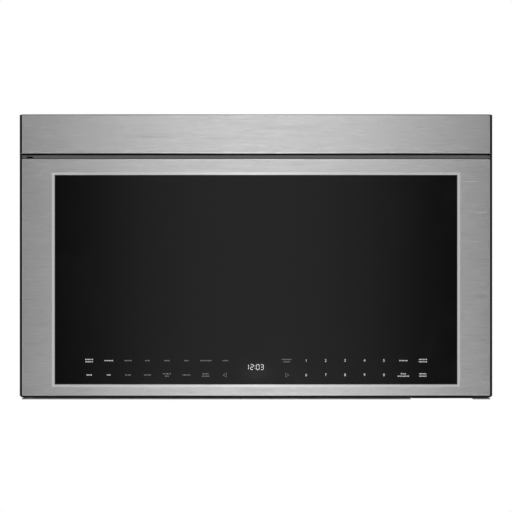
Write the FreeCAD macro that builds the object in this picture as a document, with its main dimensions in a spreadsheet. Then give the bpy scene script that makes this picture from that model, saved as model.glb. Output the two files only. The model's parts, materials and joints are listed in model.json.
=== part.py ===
"""Over-the-range microwave with a flush, handle-free front.

Millimetres, +Z up, front towards -Y. The origin is at the middle of the underside.
Every size that can be set by itself is a cell of the sheet; all other places follow from those cells.
"""

import FreeCAD, Part
import Sketcher
import math
import os
import re

Vector = FreeCAD.Vector
doc = FreeCAD.newDocument("over_range_microwave")
dims = doc.addObject("Spreadsheet::Sheet", "dims")

# Driving dimensions: alias, millimetres (or a count or degrees where the note says so), and what it measures.
DRIVING_DIMENSIONS = [
    ("overall_width", 759, "across the door and fascia"),
    ("overall_height", 458, "underside to the top of the fascia"),
    ("overall_depth", 345, "steel front to the wall"),
    ("casing_sheet", 1.0, "gauge of the side, top and rear panels"),
    ("base_sheet", 1.5, "gauge of the underside"),
    ("frame_sheet", 1.2, "gauge of the front frame"),
    ("cavity_sheet", 0.8, "gauge of the oven cavity"),
    ("casing_inset", 2.0, "casing behind the edges of the door and fascia"),
    ("plate_standoff", 8.0, "depth of the wall plate's rim"),
    ("plate_sheet", 2.0, "gauge of the wall plate"),
    ("flange_height", 14.0, "folded edges of the base and the front frame"),
    ("lip_setback", 2.0, "front edge of the base lip behind the steel front"),
    ("finger_notch_width", 100.0, "notch in the base lip where a finger reaches the door"),
    ("finger_notch_depth", 24.0, "how far that notch runs back"),
    ("finger_notch_inset", 30.5, "notch from the right edge"),
    ("edge_reveal", 3.0, "black rim that shows beside the steel"),
    ("door_lift", 2.7, "bottom of the door above the underside"),
    ("vent_gap", 8.7, "open slot between door and fascia"),
    ("fascia_height", 62.6, "steel panel above the door"),
    ("skin_sheet", 0.9, "gauge of the brushed steel"),
    ("skin_return", 6.0, "folded edge of the brushed steel"),
    ("skin_bend", 2.2, "outside radius of that fold"),
    ("shell_corner", 4.0, "corner radius of the black rim"),
    ("door_depth", 40.0, "steel front to the back of the door"),
    ("door_clearance", 2.5, "back of the door to the front frame"),
    ("window_side", 56.2, "side of the door to the glass that shows"),
    ("window_head", 26.3, "top of the door to the glass that shows"),
    ("window_sill", 21.7, "bottom of the door to the glass that shows"),
    ("bevel_width", 4.9, "sloping trim round the glass"),
    ("bevel_depth", 3.0, "how far the trim slopes back"),
    ("trim_depth", 4.5, "steel front to the glass"),
    ("trim_flange", 4.0, "trim behind the steel"),
    ("glass_thickness", 4.0, "outer pane"),
    ("glass_overlap", 8.0, "outer pane behind the trim"),
    ("shell_wall", 3.0, "walls of the door moulding"),
    ("web_thickness", 3.0, "glass seat of the door moulding"),
    ("cover_thickness", 2.0, "back cover of the door"),
    ("piece_gap", 0.3, "clearance between neighbouring pieces"),
    ("hinge_inset", 15.5, "hinge axis from the left edge"),
    ("hinge_setback", 14.0, "hinge axis behind the steel front"),
    ("hinge_pin_radius", 4.0, "hinge pins"),
    ("hinge_pin_reach", 14.0, "pins inside the door"),
    ("bush_wall", 2.5, "hinge bushes"),
    ("bush_length", 12.0, "hinge bushes"),
    ("running_gap", 0.05, "radial clearance of pins and shafts"),
    ("strap_thickness", 3.0, "upper hinge strap"),
    ("strap_width", 24.5, "upper hinge strap, across"),
    ("cavity_inset", 49.5, "left edge of the door to the inside of the oven"),
    ("bay_width", 179.5, "inside of the oven to the right edge of the door"),
    ("cavity_head", 54.7, "top of the door to the oven roof"),
    ("cavity_floor", 92.0, "underside to the oven floor"),
    ("cavity_back", 42.3, "rear wall of the oven to the rear panel"),
    ("cavity_corner", 8.0, "corner radius of the oven"),
    ("shelf_thickness", 4.0, "glass-ceramic shelf"),
    ("shelf_margin", 9.0, "shelf from the oven walls"),
    ("well_radius", 100.0, "recess for the aerial under the shelf"),
    ("well_depth", 20.0, "recess for the aerial under the shelf"),
    ("choke_width", 24.0, "microwave seal round the oven mouth"),
    ("choke_front", 26.0, "steel front to the face of the door pan"),
    ("choke_rear", 39.5, "steel front to the rim of the door pan"),
    ("choke_slot", 3.0, "slots between the choke's fingers"),
    ("choke_pitch", 18.0, "finger to finger"),
    ("choke_cover_thickness", 1.5, "black cover over the choke"),
    ("pan_sheet", 1.0, "gauge of the door pan"),
    ("screen_sheet", 0.6, "gauge of the perforated screen"),
    ("screen_overlap", 8.0, "screen behind the pan's edge"),
    ("screen_columns", 18, "holes across, a count"),
    ("screen_rows", 8, "holes up and down, a count"),
    ("screen_open", 0.62, "hole width as a share of the pitch"),
    ("pane_thickness", 3.0, "inner pane"),
    ("board_sheet", 1.6, "circuit boards"),
    ("key_board_margin", 18.3, "side of the glass that shows to the touch key board"),
    ("key_board_height", 42.0, "touch key board in the door"),
    ("key_board_sill", 5.6, "bottom of the glass that shows to the touch key board"),
    ("display_width", 48.0, "clock display"),
    ("display_height", 16.0, "clock display"),
    ("display_depth", 7.5, "clock display"),
    ("latch_inset", 27.5, "latch from the right edge of the door"),
    ("latch_sheet", 4.0, "gauge of the latch bar"),
    ("latch_depth", 10.0, "latch bar, front to back"),
    ("latch_drop", 96.7, "top of the door to the upper hook"),
    ("latch_spacing", 120.0, "hook to hook"),
    ("hook_reach", 20.0, "hooks past the front frame"),
    ("hook_height", 8.0, "arm of a hook"),
    ("hook_drop", 6.0, "nose of a hook below its arm"),
    ("hook_nose", 6.0, "nose of a hook, front to back"),
    ("latch_lift", 6.0, "travel of the latch bar"),
    ("blower_drop", 59.0, "top panel to the blower shaft"),
    ("blower_axis_back", 69.5, "blower shaft in front of the rear panel"),
    ("wheel_radius", 42.0, "blower wheels"),
    ("wheel_width", 66.0, "blower wheels"),
    ("wheel_blades", 24, "blades on a wheel, a count"),
    ("blade_depth", 9.0, "blower blades, along the radius"),
    ("blade_sheet", 0.9, "blower blades"),
    ("scroll_gap", 4.0, "wheel to the scroll's tongue"),
    ("scroll_growth", 11.0, "how much the scroll opens over its turn"),
    ("scroll_wall", 1.6, "scroll housings"),
    ("scroll_width", 80.0, "scroll housings"),
    ("motor_gap", 6.0, "blower motor to the scroll housings"),
    ("blower_motor_length", 72.0, "blower motor"),
    ("blower_motor_radius", 36.0, "blower motor"),
    ("shaft_radius", 4.0, "blower shaft"),
    ("duct_width", 254.0, "exhaust duct, across"),
    ("duct_depth", 83.0, "exhaust duct, front to back"),
    ("duct_wall", 1.2, "exhaust collar"),
    ("duct_height", 20.0, "exhaust collar above the casing"),
    ("duct_back", 11.0, "exhaust duct in front of the rear panel"),
    ("duct_flange", 12.0, "flange of the exhaust collar"),
    ("flap_sheet", 1.2, "damper flap"),
    ("flap_pin_radius", 2.0, "damper pin"),
    ("filter_width", 246.0, "grease filters"),
    ("filter_front", 29.3, "worktop lamps to the filter openings"),
    ("filter_thickness", 8.0, "grease filters"),
    ("filter_rim", 9.0, "frame of a grease filter"),
    ("filter_gap", 2.0, "grease filter to its opening"),
    ("filter_spacing", 290.0, "filter to filter"),
    ("filter_back", 42.0, "filter openings in front of the rear panel"),
    ("mesh_columns", 8, "diamonds across a filter, a count"),
    ("mesh_rows", 5, "diamonds along a filter, a count"),
    ("mesh_sheet", 1.2, "expanded metal"),
    ("lamp_width", 100.0, "worktop lamp glasses"),
    ("lamp_depth", 34.0, "worktop lamp glasses"),
    ("lamp_back", 20.0, "worktop lamps behind the front frame"),
    ("fan_radius", 52.0, "cooling fan"),
    ("fan_height", 190.0, "underside to the cooling fan's shaft"),
    ("fan_inset", 89.5, "cooling fan's shaft from the right edge"),
    ("fan_blades", 5, "blades of the cooling fan, a count"),
    ("cord_hole_radius", 7.0, "grommet's hole for the mains lead"),
    ("cabinet_bolt_radius", 3.6, "holes for the bolts from the cabinet above"),
    ("cabinet_bolt_spacing", 400.0, "bolt to bolt"),
    ("cabinet_bolt_back", 70.0, "bolts behind the front frame"),
    ("stud_hole_radius", 3.5, "holes in the wall plate"),
    ("stud_spacing", 406.4, "wall plate holes, across"),
    ("stud_rise", 200.0, "wall plate holes, up and down"),
    ("plate_width", 660.0, "wall plate"),
    ("plate_gap", 10.4, "wall plate to the blanking plate above it"),
    ("plate_lift", 40.0, "underside to the wall plate"),
    ("louvre_width", 4.0, "cooling louvres"),
    ("louvre_length", 34.0, "cooling louvres"),
    ("louvre_pitch", 11.0, "louvre to louvre"),
    ("louvre_count", 10, "louvres in a row, a count"),
    ("lamp_ledge", 3.0, "lamp glass on the rim of its opening"),
    ("grommet_wall", 3.0, "rubber of the grommet"),
    ("cord_inset", 40.0, "grommet from the side and the rear"),
    ("screw_radius", 4.0, "heads of the casing screws"),
    ("screw_height", 2.0, "heads of the casing screws"),
    ("hanger_width", 30.0, "hangers of the wall plate"),
    ("hanger_inset", 80.0, "hangers from the plate's ends"),
    ("hanger_reach", 12.0, "hangers inside the rear panel"),
    ("hanger_rise", 14.0, "hangers, up and down"),
    ("plate_border", 36.0, "wall plate round its window"),
    ("magnetron_offset", 75.0, "magnetron from the oven's right wall"),
    ("guide_height", 32.0, "waveguide, up and down"),
    ("guide_width", 84.0, "waveguide, across"),
    ("guide_sheet", 1.5, "gauge of the waveguide"),
    ("coupling_radius", 18.0, "openings of the waveguide"),
    ("antenna_radius", 80.0, "turning aerial"),
    ("antenna_shaft", 3.0, "radius of the aerial's spindle"),
    ("motor_radius", 25.0, "aerial motor"),
    ("motor_height", 22.0, "aerial motor"),
    ("patch_pitch", 8.0, "perforated patches in the oven walls"),
    ("patch_hole", 2.0, "radius of those holes"),
    ("lamp_holder_depth", 24.0, "oven lamp"),
    ("yoke_width", 95.0, "magnetron, across"),
    ("yoke_depth", 80.0, "magnetron, front to back"),
    ("yoke_height", 60.0, "magnetron between its end plates"),
    ("yoke_fins", 4, "cooling fins of the magnetron, a count"),
    ("core_width", 102.0, "transformer, across"),
    ("core_depth", 64.0, "transformer, front to back"),
    ("core_height", 85.0, "transformer, up and down"),
    ("core_leg", 17.0, "outer legs of the core, half its middle leg"),
    ("transformer_back", 34.0, "transformer in front of the rear panel"),
    ("can_radius", 15.0, "high-voltage capacitor"),
    ("can_height", 88.0, "high-voltage capacitor"),
    ("board_standoff", 8.0, "main board from the right side"),
    ("board_length", 160.0, "main board, front to back"),
    ("board_height", 120.0, "main board, up and down"),
    ("board_low", 190.0, "underside to the main board"),
    ("board_back", 70.0, "main board behind the front frame"),
    ("relay_size", 18.0, "relays on the main board"),
    ("shroud_depth", 26.0, "fan shroud, front to back"),
    ("fan_gap", 2.5, "fan to its shroud"),
    ("fan_shaft", 2.5, "radius of the fan's shaft"),
    ("fan_pitch", 0.41, "slope of the fan blades, rise over run"),
    ("charcoal_depth", 18.0, "charcoal cassette, front to back"),
    ("charcoal_pitch", 36.0, "slot to slot in the charcoal cassette"),
    ("lamp_glass", 3.0, "thickness of a lamp glass"),
    ("lamp_height", 22.0, "worktop lamp housings"),
    ("grille_pitch", 62.0, "slot to slot under the fascia"),
    ("grille_end", 35.0, "ends of the fascia without slots"),
    ("trim_nose", 0.2, "trim behind the steel front"),
    ("swing_relief", 7.0, "door's rear left edge cut back for the swing"),
    ("spring_height", 22.0, "latch spring"),
    ("spring_reach", 3.5, "half the latch spring's width"),
    ("spring_strip", 1.6, "latch spring's strip, up and down"),
    ("spring_folds", 6, "folds of the latch spring, a count"),
    ("release_reach", 29.5, "release lever, pivot to finger"),
    ("finger_height", 7.6, "release lever's finger above its pivot"),
    ("lever_arm", 5.0, "release lever's arm, up and down"),
    ("pivot_radius", 2.5, "release lever's pivot"),
    ("switch_gap", 2.0, "snap switches behind the hooks"),
    ("switch_depth", 16.0, "snap switches, front to back"),
    ("switch_height", 28.0, "snap switches, up and down"),
    ("solenoid_height", 30.0, "release solenoid"),
    ("solenoid_width", 24.0, "release solenoid"),
    ("plunger_radius", 4.0, "release solenoid's plunger"),
]
ALIASES = [alias for alias, _, _ in DRIVING_DIMENSIONS]
for row, (alias, value, meaning) in enumerate(DRIVING_DIMENSIONS, start=1):
    dims.set(f"A{row}", str(value))
    dims.set(f"B{row}", meaning)
    dims.setAlias(f"A{row}", alias)
doc.recompute()


def bound(text):
    """A formula on the sheet's aliases, as the document's expressions write it."""
    return re.sub(r"[a-z_]+", lambda found: f"dims.{found[0]}" if found[0] in ALIASES else found[0], text)


def number(text):
    """What such a formula comes to now."""
    return float(dims.evalExpression(bound(text)))


# Places that several pieces share, as formulas.
LEFT = "(0 - overall_width / 2)"
RIGHT = "(overall_width / 2)"
FRONT = "(0 - overall_depth / 2)"
REAR = "(overall_depth / 2)"
FRAME_FACE = f"({FRONT} + door_depth + door_clearance)"
FRAME_BACK = f"({FRAME_FACE} + frame_sheet)"
BACK_FACE = f"({REAR} - plate_standoff)"
BACK_INSIDE = f"({BACK_FACE} - casing_sheet)"
CASING_HALF = "(overall_width / 2 - casing_inset)"
INNER_HALF = f"({CASING_HALF} - casing_sheet)"
CASING_TOP = "(overall_height - casing_inset)"
INNER_TOP = f"({CASING_TOP} - casing_sheet)"
FASCIA_BOTTOM = "(overall_height - fascia_height)"
DOOR_TOP = "(overall_height - fascia_height - vent_gap)"
DOOR_BACK = f"({FRONT} + door_depth)"
WINDOW_BOTTOM = "(door_lift + window_sill)"
WINDOW_TOP = f"({DOOR_TOP} - window_head)"
WINDOW_HALF = "(overall_width / 2 - window_side)"
SKIN_HALF = "(overall_width / 2 - edge_reveal)"
HINGE_X = f"({LEFT} + hinge_inset)"
HINGE_Y = f"({FRONT} + hinge_setback)"
CAVITY_LEFT = f"({LEFT} + cavity_inset)"
CAVITY_RIGHT = f"({RIGHT} - bay_width)"
CAVITY_TOP = f"({DOOR_TOP} - cavity_head)"
CAVITY_REAR = f"({BACK_INSIDE} - cavity_back)"
CAVITY_MID_X = f"(({CAVITY_LEFT} + {CAVITY_RIGHT}) / 2)"
CAVITY_MID_Y = f"(({FRAME_BACK} + {CAVITY_REAR}) / 2)"
WELL_BOTTOM = "(cavity_floor - well_depth)"
WELL_UNDERSIDE = f"({WELL_BOTTOM} - cavity_sheet)"
GLASS_BACK = f"({FRONT} + trim_depth + glass_thickness)"
LATCH_X = f"({RIGHT} - latch_inset)"
LATCH_HIGH = f"({DOOR_TOP} - latch_drop)"
LATCH_LOW = f"({LATCH_HIGH} - latch_spacing)"
BLOWER_Y = f"({BACK_INSIDE} - blower_axis_back)"
BLOWER_Z = f"({INNER_TOP} - blower_drop)"
FAN_X = f"({RIGHT} - fan_inset)"

AXES = {"X": Vector(1, 0, 0), "Y": Vector(0, 1, 0), "Z": Vector(0, 0, 1)}
PLANES = {"X": "YZ_Plane", "Y": "XZ_Plane", "Z": "XY_Plane"}
TURNS = {
    "X": FreeCAD.Rotation(Vector(0, 1, 0), 90),
    "Y": FreeCAD.Rotation(Vector(1, 0, 0), -90),
    "Z": FreeCAD.Rotation(),
}
sub_parts = []


def finished(label, piece):
    """Names a finished sub-part and puts it on the list to be written."""
    piece.Label = label
    sub_parts.append(piece)
    return piece


# Sketched bodies

def rect(low_u, high_u, low_v, high_v):
    return [(low_u, low_v), (high_u, low_v), (high_u, high_v), (low_u, high_v)]


def draw_polygon(made, points):
    """A closed outline whose corners stand at formulas from the sketch's origin."""
    places = [Vector(number(u), number(v), 0) for u, v in points]
    first, count = made.GeometryCount, len(points)
    for here, there in zip(places, places[1:] + places[:1]):
        made.addGeometry(Part.LineSegment(here, there))
    for i in range(count):
        made.addConstraint(Sketcher.Constraint("Coincident", first + i, 2, first + (i + 1) % count, 1))
    for i, corner in enumerate(points):
        for kind, text in zip(("DistanceX", "DistanceY"), corner):
            at = made.addConstraint(Sketcher.Constraint(kind, -1, 1, first + i, 1, number(text)))
            made.setExpression(f"Constraints[{at}]", bound(text))


def draw_circle(made, u, v, radius):
    middle = Vector(number(u), number(v), 0)
    ring = made.addGeometry(Part.Circle(middle, AXES["Z"], number(radius)))
    for kind, text in (("DistanceX", u), ("DistanceY", v)):
        at = made.addConstraint(Sketcher.Constraint(kind, -1, 1, ring, 3, number(text)))
        made.setExpression(f"Constraints[{at}]", bound(text))
    at = made.addConstraint(Sketcher.Constraint("Radius", ring, number(radius)))
    made.setExpression(f"Constraints[{at}]", bound(radius))


def sketch(body, axis, place, loops):
    """Loops drawn on the plane across an axis: a list of corners is a polygon, three texts are a circle."""
    made = body.newObject("Sketcher::SketchObject", "outline")
    plane = next(f for f in body.Origin.OriginFeatures if f.Role == PLANES[axis])
    made.AttachmentSupport = [(plane, "")]
    made.MapMode = "FlatFace"
    made.setExpression("AttachmentOffset.Base.z", bound(f"0 - ({place})" if axis == "Y" else place))
    for loop in loops:
        if isinstance(loop, list):
            draw_polygon(made, loop)
        else:
            draw_circle(made, *loop)
    return made


def pad(body, axis, span, *loops):
    """Material between two places along an axis."""
    low, high = span
    made_sketch = sketch(body, axis, high if axis == "Y" else low, loops)
    made = body.newObject("PartDesign::Pad", "pad")
    made.Profile = made_sketch
    made.setExpression("Length", bound(f"({high}) - ({low})"))
    doc.recompute()
    return made


def pocket(body, axis, span, *loops):
    """A cut between two places along an axis; it has to take material away."""
    low, high = span
    before = body.Shape.Volume
    made_sketch = sketch(body, axis, low if axis == "Y" else high, loops)
    made = body.newObject("PartDesign::Pocket", "pocket")
    made.Profile = made_sketch
    made.setExpression("Length", bound(f"({high}) - ({low})"))
    doc.recompute()
    if not made.Shape.Volume < before:
        raise ValueError(f"a pocket of {body.Label} cuts nothing")
    return made


def row_of(body, original, axis, pitch, count):
    """Repeats a feature along an axis; a count that isn't whole is cut down to a whole one."""
    made = body.newObject("PartDesign::LinearPattern", "row")
    made.Originals = [original]
    line = next(f for f in body.Origin.OriginFeatures if f.Role == f"{axis}_Axis")
    made.Direction = (line, [""])
    made.Mode = "Spacing"
    made.setExpression("Offset", bound(pitch))
    made.setExpression("Occurrences", bound(f"floor({count})"))
    body.Tip = made
    doc.recompute()
    return made


SAME_PLACE = 0.01


def runs(edge, axis):
    """Whether an edge is straight and lies along an axis."""
    if edge.Degenerated or not isinstance(edge.Curve, Part.Line):
        return False
    return abs(edge.tangentAt(edge.FirstParameter).dot(AXES[axis])) > 0.999


def dress(body, kind, sizes, test):
    """A fillet or chamfer on the edges of the body so far that pass a test."""
    base = body.Tip
    names = [f"Edge{i}" for i, edge in enumerate(base.Shape.Edges, start=1) if test(edge)]
    made = body.newObject("PartDesign::" + kind, kind.lower())
    made.Base = (base, names)
    for name, text in sizes.items():
        made.setExpression(name, bound(text))
    doc.recompute()
    return made


def hollow_out(body, span, loop, mouth, radius):
    """A cut along Y from an open mouth, with its inner edges rounded."""
    known = [edge.CenterOfMass for edge in body.Shape.Edges]
    pocket(body, "Y", span, loop)
    place = number(mouth)
    dress(body, "Fillet", {"Radius": radius}, lambda edge: abs(edge.CenterOfMass.y - place) > SAME_PLACE
          and all((edge.CenterOfMass - other).Length > SAME_PLACE for other in known))


def new_body(label):
    body = doc.addObject("PartDesign::Body", label)
    return finished(label, body)


# Plain solids and booleans

def block(x, y, z):
    """A box between two places on each axis."""
    made = doc.addObject("Part::Box", "block")
    for size, place, (low, high) in zip(("Length", "Width", "Height"), "xyz", (x, y, z)):
        made.setExpression(size, bound(f"({high}) - ({low})"))
        made.setExpression(f"Placement.Base.{place}", bound(low))
    return made


def rod(axis, radius, middle, span):
    """A cylinder along an axis; middle is where it stands on the other two axes, in X, Y, Z order."""
    low, high = span
    made = doc.addObject("Part::Cylinder", "rod")
    made.Placement = FreeCAD.Placement(Vector(), TURNS[axis])
    made.setExpression("Radius", bound(radius))
    made.setExpression("Height", bound(f"({high}) - ({low})"))
    places = dict(zip([name for name in "XYZ" if name != axis], middle))
    places[axis] = low
    for name, text in places.items():
        made.setExpression(f"Placement.Base.{name.lower()}", bound(text))
    return made


def hexagon(axis, radius, middle, span):
    """A hexagon bar along an axis, measured over its corners."""
    low, high = span
    made = doc.addObject("Part::Prism", "hexagon")
    made.Polygon = 6
    made.Placement = FreeCAD.Placement(Vector(), TURNS[axis])
    made.setExpression("Circumradius", bound(radius))
    made.setExpression("Height", bound(f"({high}) - ({low})"))
    places = dict(zip([name for name in "XYZ" if name != axis], middle))
    places[axis] = low
    for name, text in places.items():
        made.setExpression(f"Placement.Base.{name.lower()}", bound(text))
    return made


def cut(base, *tools):
    for tool in tools:
        made = doc.addObject("Part::Cut", "cut")
        made.Base, made.Tool = base, tool
        base = made
    return base


def fuse(*pieces):
    made = doc.addObject("Part::MultiFuse", "fuse")
    made.Shapes = list(pieces)
    made.Refine = True
    return made


def group(*pieces):
    """Separate solids that share one node."""
    made = doc.addObject("Part::Compound", "group")
    made.Links = list(pieces)
    return made


def around(middle, size):
    """A span of a given size about a place."""
    return (f"({middle}) - ({size}) / 2", f"({middle}) + ({size}) / 2")


def given_shape(label, shape):
    """A sub-part whose shape is worked out below from the sheet."""
    made = doc.addObject("Part::Feature", label)
    made.Shape = shape
    return finished(label, made)


# Casing

LAMP_FRONT = f"({FRAME_BACK} + lamp_back)"
FILTER_REAR = f"({BACK_INSIDE} - filter_back)"
FILTER_FRONT = f"({LAMP_FRONT} + lamp_depth + filter_front)"
FILTER_OPEN_HALF = "(filter_width / 2 + filter_gap)"
FILTER_MIDDLES = {
    "left": f"({CAVITY_MID_X} - filter_spacing / 2)",
    "right": f"({CAVITY_MID_X} + filter_spacing / 2)",
}
DUCT_REAR = f"({BACK_INSIDE} - duct_back)"
DUCT_FRONT = f"({DUCT_REAR} - duct_depth)"
REAR_DUCT_TOP = f"({INNER_TOP} - duct_flange)"
COVER_LAP = "duct_flange * 0.8"
PLATE_TOP = f"({REAR_DUCT_TOP} - duct_depth - {COVER_LAP} - plate_gap)"
PLATE_MIDDLE = f"((plate_lift + {PLATE_TOP}) / 2)"
HOOK_MIDDLES = ["(0 - plate_width / 2 + hanger_inset)", "(plate_width / 2 - hanger_inset)"]
BOLT_Y = f"({FRAME_BACK} + cabinet_bolt_back)"
CORD_X = f"({INNER_HALF} - cord_inset)"
CORD_Y = f"({BACK_INSIDE} - cord_inset)"
VENT_HALF = f"({INNER_HALF} - 4 * flange_height)"
VENT_LOW = f"({FASCIA_BOTTOM} + flange_height / 2)"
VENT_HIGH = f"({INNER_TOP} - flange_height)"


def base_plate():
    """Underside: a sheet with folded edges that reaches forward as a lip under the door."""
    body = new_body("base_plate")
    inner, rear = INNER_HALF, BACK_INSIDE
    fold_top = "base_sheet + flange_height"
    fold_front = f"{FRAME_BACK} + flange_height + base_sheet"
    pad(body, "Z", ("0", "base_sheet"), rect(f"0 - {inner}", inner, f"{FRONT} + lip_setback", rear))
    pad(body, "Z", ("base_sheet", fold_top), [
        (f"0 - {inner}", fold_front), (f"0 - {inner}", rear), (inner, rear), (inner, fold_front),
        (f"{inner} - base_sheet", fold_front), (f"{inner} - base_sheet", f"{rear} - base_sheet"),
        (f"0 - {inner} + base_sheet", f"{rear} - base_sheet"), (f"0 - {inner} + base_sheet", fold_front)])
    notch_right = f"{RIGHT} - finger_notch_inset"
    notch_rear = f"{FRONT} + lip_setback + finger_notch_depth"
    pocket(body, "Z", ("0", "base_sheet"), rect(
        f"{notch_right} - finger_notch_width", notch_right, FRONT, notch_rear))
    for middle in FILTER_MIDDLES.values():
        pocket(body, "Z", ("0", "base_sheet"), rect(
            f"{middle} - {FILTER_OPEN_HALF}", f"{middle} + {FILTER_OPEN_HALF}",
            FILTER_FRONT, FILTER_REAR))
        pocket(body, "Z", ("0", "base_sheet"), rect(
            f"{middle} - lamp_width / 2 + lamp_ledge", f"{middle} + lamp_width / 2 - lamp_ledge",
            f"{LAMP_FRONT} + lamp_ledge", f"{LAMP_FRONT} + lamp_depth - lamp_ledge"))
    first = f"{CAVITY_RIGHT} + louvre_pitch * 3"
    louvre = pocket(body, "Z", ("0", "base_sheet"), rect(
        first, f"{first} + louvre_width", LAMP_FRONT, f"{LAMP_FRONT} + louvre_length"))
    row_of(body, louvre, "X", "louvre_pitch", "louvre_count")


def side_panel(label, sign):
    """Flat side with a fold under the top panel; sign is -1 on the left."""
    body = new_body(label)
    inner, outer = (f"{sign} * {half}" for half in (INNER_HALF, CASING_HALF))
    fold = f"{sign} * ({INNER_HALF} - flange_height)"
    span = (inner, outer) if sign > 0 else (outer, inner)
    fold_span = (fold, inner) if sign > 0 else (inner, fold)
    pad(body, "X", span, rect(FRAME_FACE, BACK_FACE, "0", INNER_TOP))
    pad(body, "Z", (f"{INNER_TOP} - casing_sheet", INNER_TOP), rect(
        *fold_span, f"{FRAME_BACK} + flange_height + base_sheet", f"{BACK_INSIDE} - base_sheet"))


def top_panel():
    """Flat top with the duct opening, the bolt holes, the lead's hole and louvres over the works."""
    body = new_body("top_panel")
    span = (INNER_TOP, CASING_TOP)
    pad(body, "Z", span, rect(f"0 - {CASING_HALF}", CASING_HALF, FRAME_FACE, BACK_FACE))
    pocket(body, "Z", span, rect("0 - duct_width / 2", "duct_width / 2", DUCT_FRONT, DUCT_REAR))
    pocket(body, "Z", span,
           ("0 - cabinet_bolt_spacing / 2", BOLT_Y, "cabinet_bolt_radius"),
           ("cabinet_bolt_spacing / 2", BOLT_Y, "cabinet_bolt_radius"),
           (CORD_X, CORD_Y, "cord_hole_radius + grommet_wall + piece_gap"))
    first = f"{CAVITY_RIGHT} + louvre_pitch * 3"
    louvre_rear = f"{BOLT_Y} + louvre_pitch + louvre_length"
    louvre = pocket(body, "Z", span, rect(
        first, f"{first} + louvre_width", f"{louvre_rear} - louvre_length", louvre_rear))
    row_of(body, louvre, "X", "louvre_pitch", "louvre_count")


def rear_panel():
    """Back sheet with hanging slots, the unused rear duct opening and louvres behind the cooling fan."""
    body = new_body("rear_panel")
    span = (BACK_INSIDE, BACK_FACE)
    pad(body, "Y", span, rect(f"0 - {INNER_HALF}", INNER_HALF, "0", INNER_TOP))
    pocket(body, "Y", span, rect(
        "0 - duct_width / 2", "duct_width / 2", f"{REAR_DUCT_TOP} - duct_depth", REAR_DUCT_TOP))
    for middle in HOOK_MIDDLES:
        pocket(body, "Y", span, rect(
            f"{middle} - hanger_width / 2 - plate_sheet", f"{middle} + hanger_width / 2 + plate_sheet",
            "plate_lift - plate_sheet", "plate_lift + hanger_rise + 2 * plate_sheet"))
    bottom = "fan_height - (louvre_count - 1) * louvre_pitch / 2 - louvre_width / 2"
    louvre = pocket(body, "Y", span, rect(
        f"{FAN_X} - fan_radius * 0.8", f"{FAN_X} + fan_radius * 0.8", bottom, f"{bottom} + louvre_width"))
    row_of(body, louvre, "Z", "louvre_pitch", "louvre_count")


def rear_exhaust_cover():
    """Blanking plate over the rear duct opening, with a folded-in middle."""
    body = new_body("rear_exhaust_cover")
    half, low, high = "duct_width / 2", f"{REAR_DUCT_TOP} - duct_depth", REAR_DUCT_TOP
    pad(body, "Y", (BACK_FACE, f"{BACK_FACE} + duct_wall"), rect(
        f"0 - {half} - {COVER_LAP}", f"{half} + {COVER_LAP}",
        f"{low} - {COVER_LAP}", f"{high} + {COVER_LAP}"))
    pad(body, "Y", (BACK_INSIDE, BACK_FACE), rect(
        f"0 - {half} + duct_wall", f"{half} - duct_wall", f"{low} + duct_wall", f"{high} - duct_wall"))


def wall_plate():
    """Rimmed plate that is screwed to the studs; two hangers at its foot carry the oven."""
    body = new_body("wall_plate")
    face, half, top = f"{REAR} - plate_sheet", "plate_width / 2", PLATE_TOP
    pad(body, "Y", (face, REAR), rect(f"0 - {half}", half, "plate_lift", top))
    within = rect(f"0 - {half} + plate_sheet", f"{half} - plate_sheet",
                  "plate_lift + plate_sheet", f"{top} - plate_sheet")
    pad(body, "Y", (BACK_FACE, face), rect(f"0 - {half}", half, "plate_lift", top), within)
    for middle in HOOK_MIDDLES:
        width = around(middle, "hanger_width")
        pad(body, "Z", ("plate_lift", "plate_lift + plate_sheet"), rect(
            *width, f"{BACK_INSIDE} - hanger_reach", BACK_FACE))
        pad(body, "Z", ("plate_lift + plate_sheet", "plate_lift + hanger_rise"), rect(
            *width, f"{BACK_INSIDE} - hanger_reach", f"{BACK_INSIDE} - hanger_reach + plate_sheet"))
    studs = [(f"{side} * stud_spacing / 2", f"{PLATE_MIDDLE} + {level} * stud_rise / 2", "stud_hole_radius")
             for side in (-1, 1) for level in (-1, 1)]
    pocket(body, "Y", (face, REAR), *studs)
    window_half = "stud_spacing / 2 - plate_border"
    pocket(body, "Y", (face, REAR), rect(
        f"0 - ({window_half})", window_half, "plate_lift + plate_border", f"{top} - plate_border"))
    dress(body, "Fillet", {"Radius": "plate_border / 3"}, lambda edge: runs(edge, "Y")
          and abs(abs(edge.CenterOfMass.x) - number(window_half)) < SAME_PLACE)


def front_frame():
    """Steel frame round the oven mouth, folded back at its edges, with the vent outlet and latch slots."""
    body = new_body("front_frame")
    half, low, high = INNER_HALF, "base_sheet", INNER_TOP
    span = (FRAME_FACE, FRAME_BACK)
    pad(body, "Y", span, rect(f"0 - {half}", half, low, high))
    within = rect(f"0 - {half} + frame_sheet", f"{half} - frame_sheet",
                  f"{low} + frame_sheet", f"{high} - frame_sheet")
    pad(body, "Y", (FRAME_BACK, f"{FRAME_BACK} + flange_height"),
        rect(f"0 - {half}", half, low, high), within)
    pocket(body, "Y", span, rect(CAVITY_LEFT, CAVITY_RIGHT, "cavity_floor", CAVITY_TOP))
    middle, reach = number(CAVITY_MID_X), number(f"{CAVITY_RIGHT} - {CAVITY_MID_X}")
    dress(body, "Fillet", {"Radius": "cavity_corner"}, lambda edge: runs(edge, "Y")
          and abs(abs(edge.CenterOfMass.x - middle) - reach) < SAME_PLACE)
    pocket(body, "Y", span, rect(f"0 - {VENT_HALF}", VENT_HALF, VENT_LOW, VENT_HIGH))
    for level in (LATCH_LOW, LATCH_HIGH):
        pocket(body, "Y", span, latch_slot(level))


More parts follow.
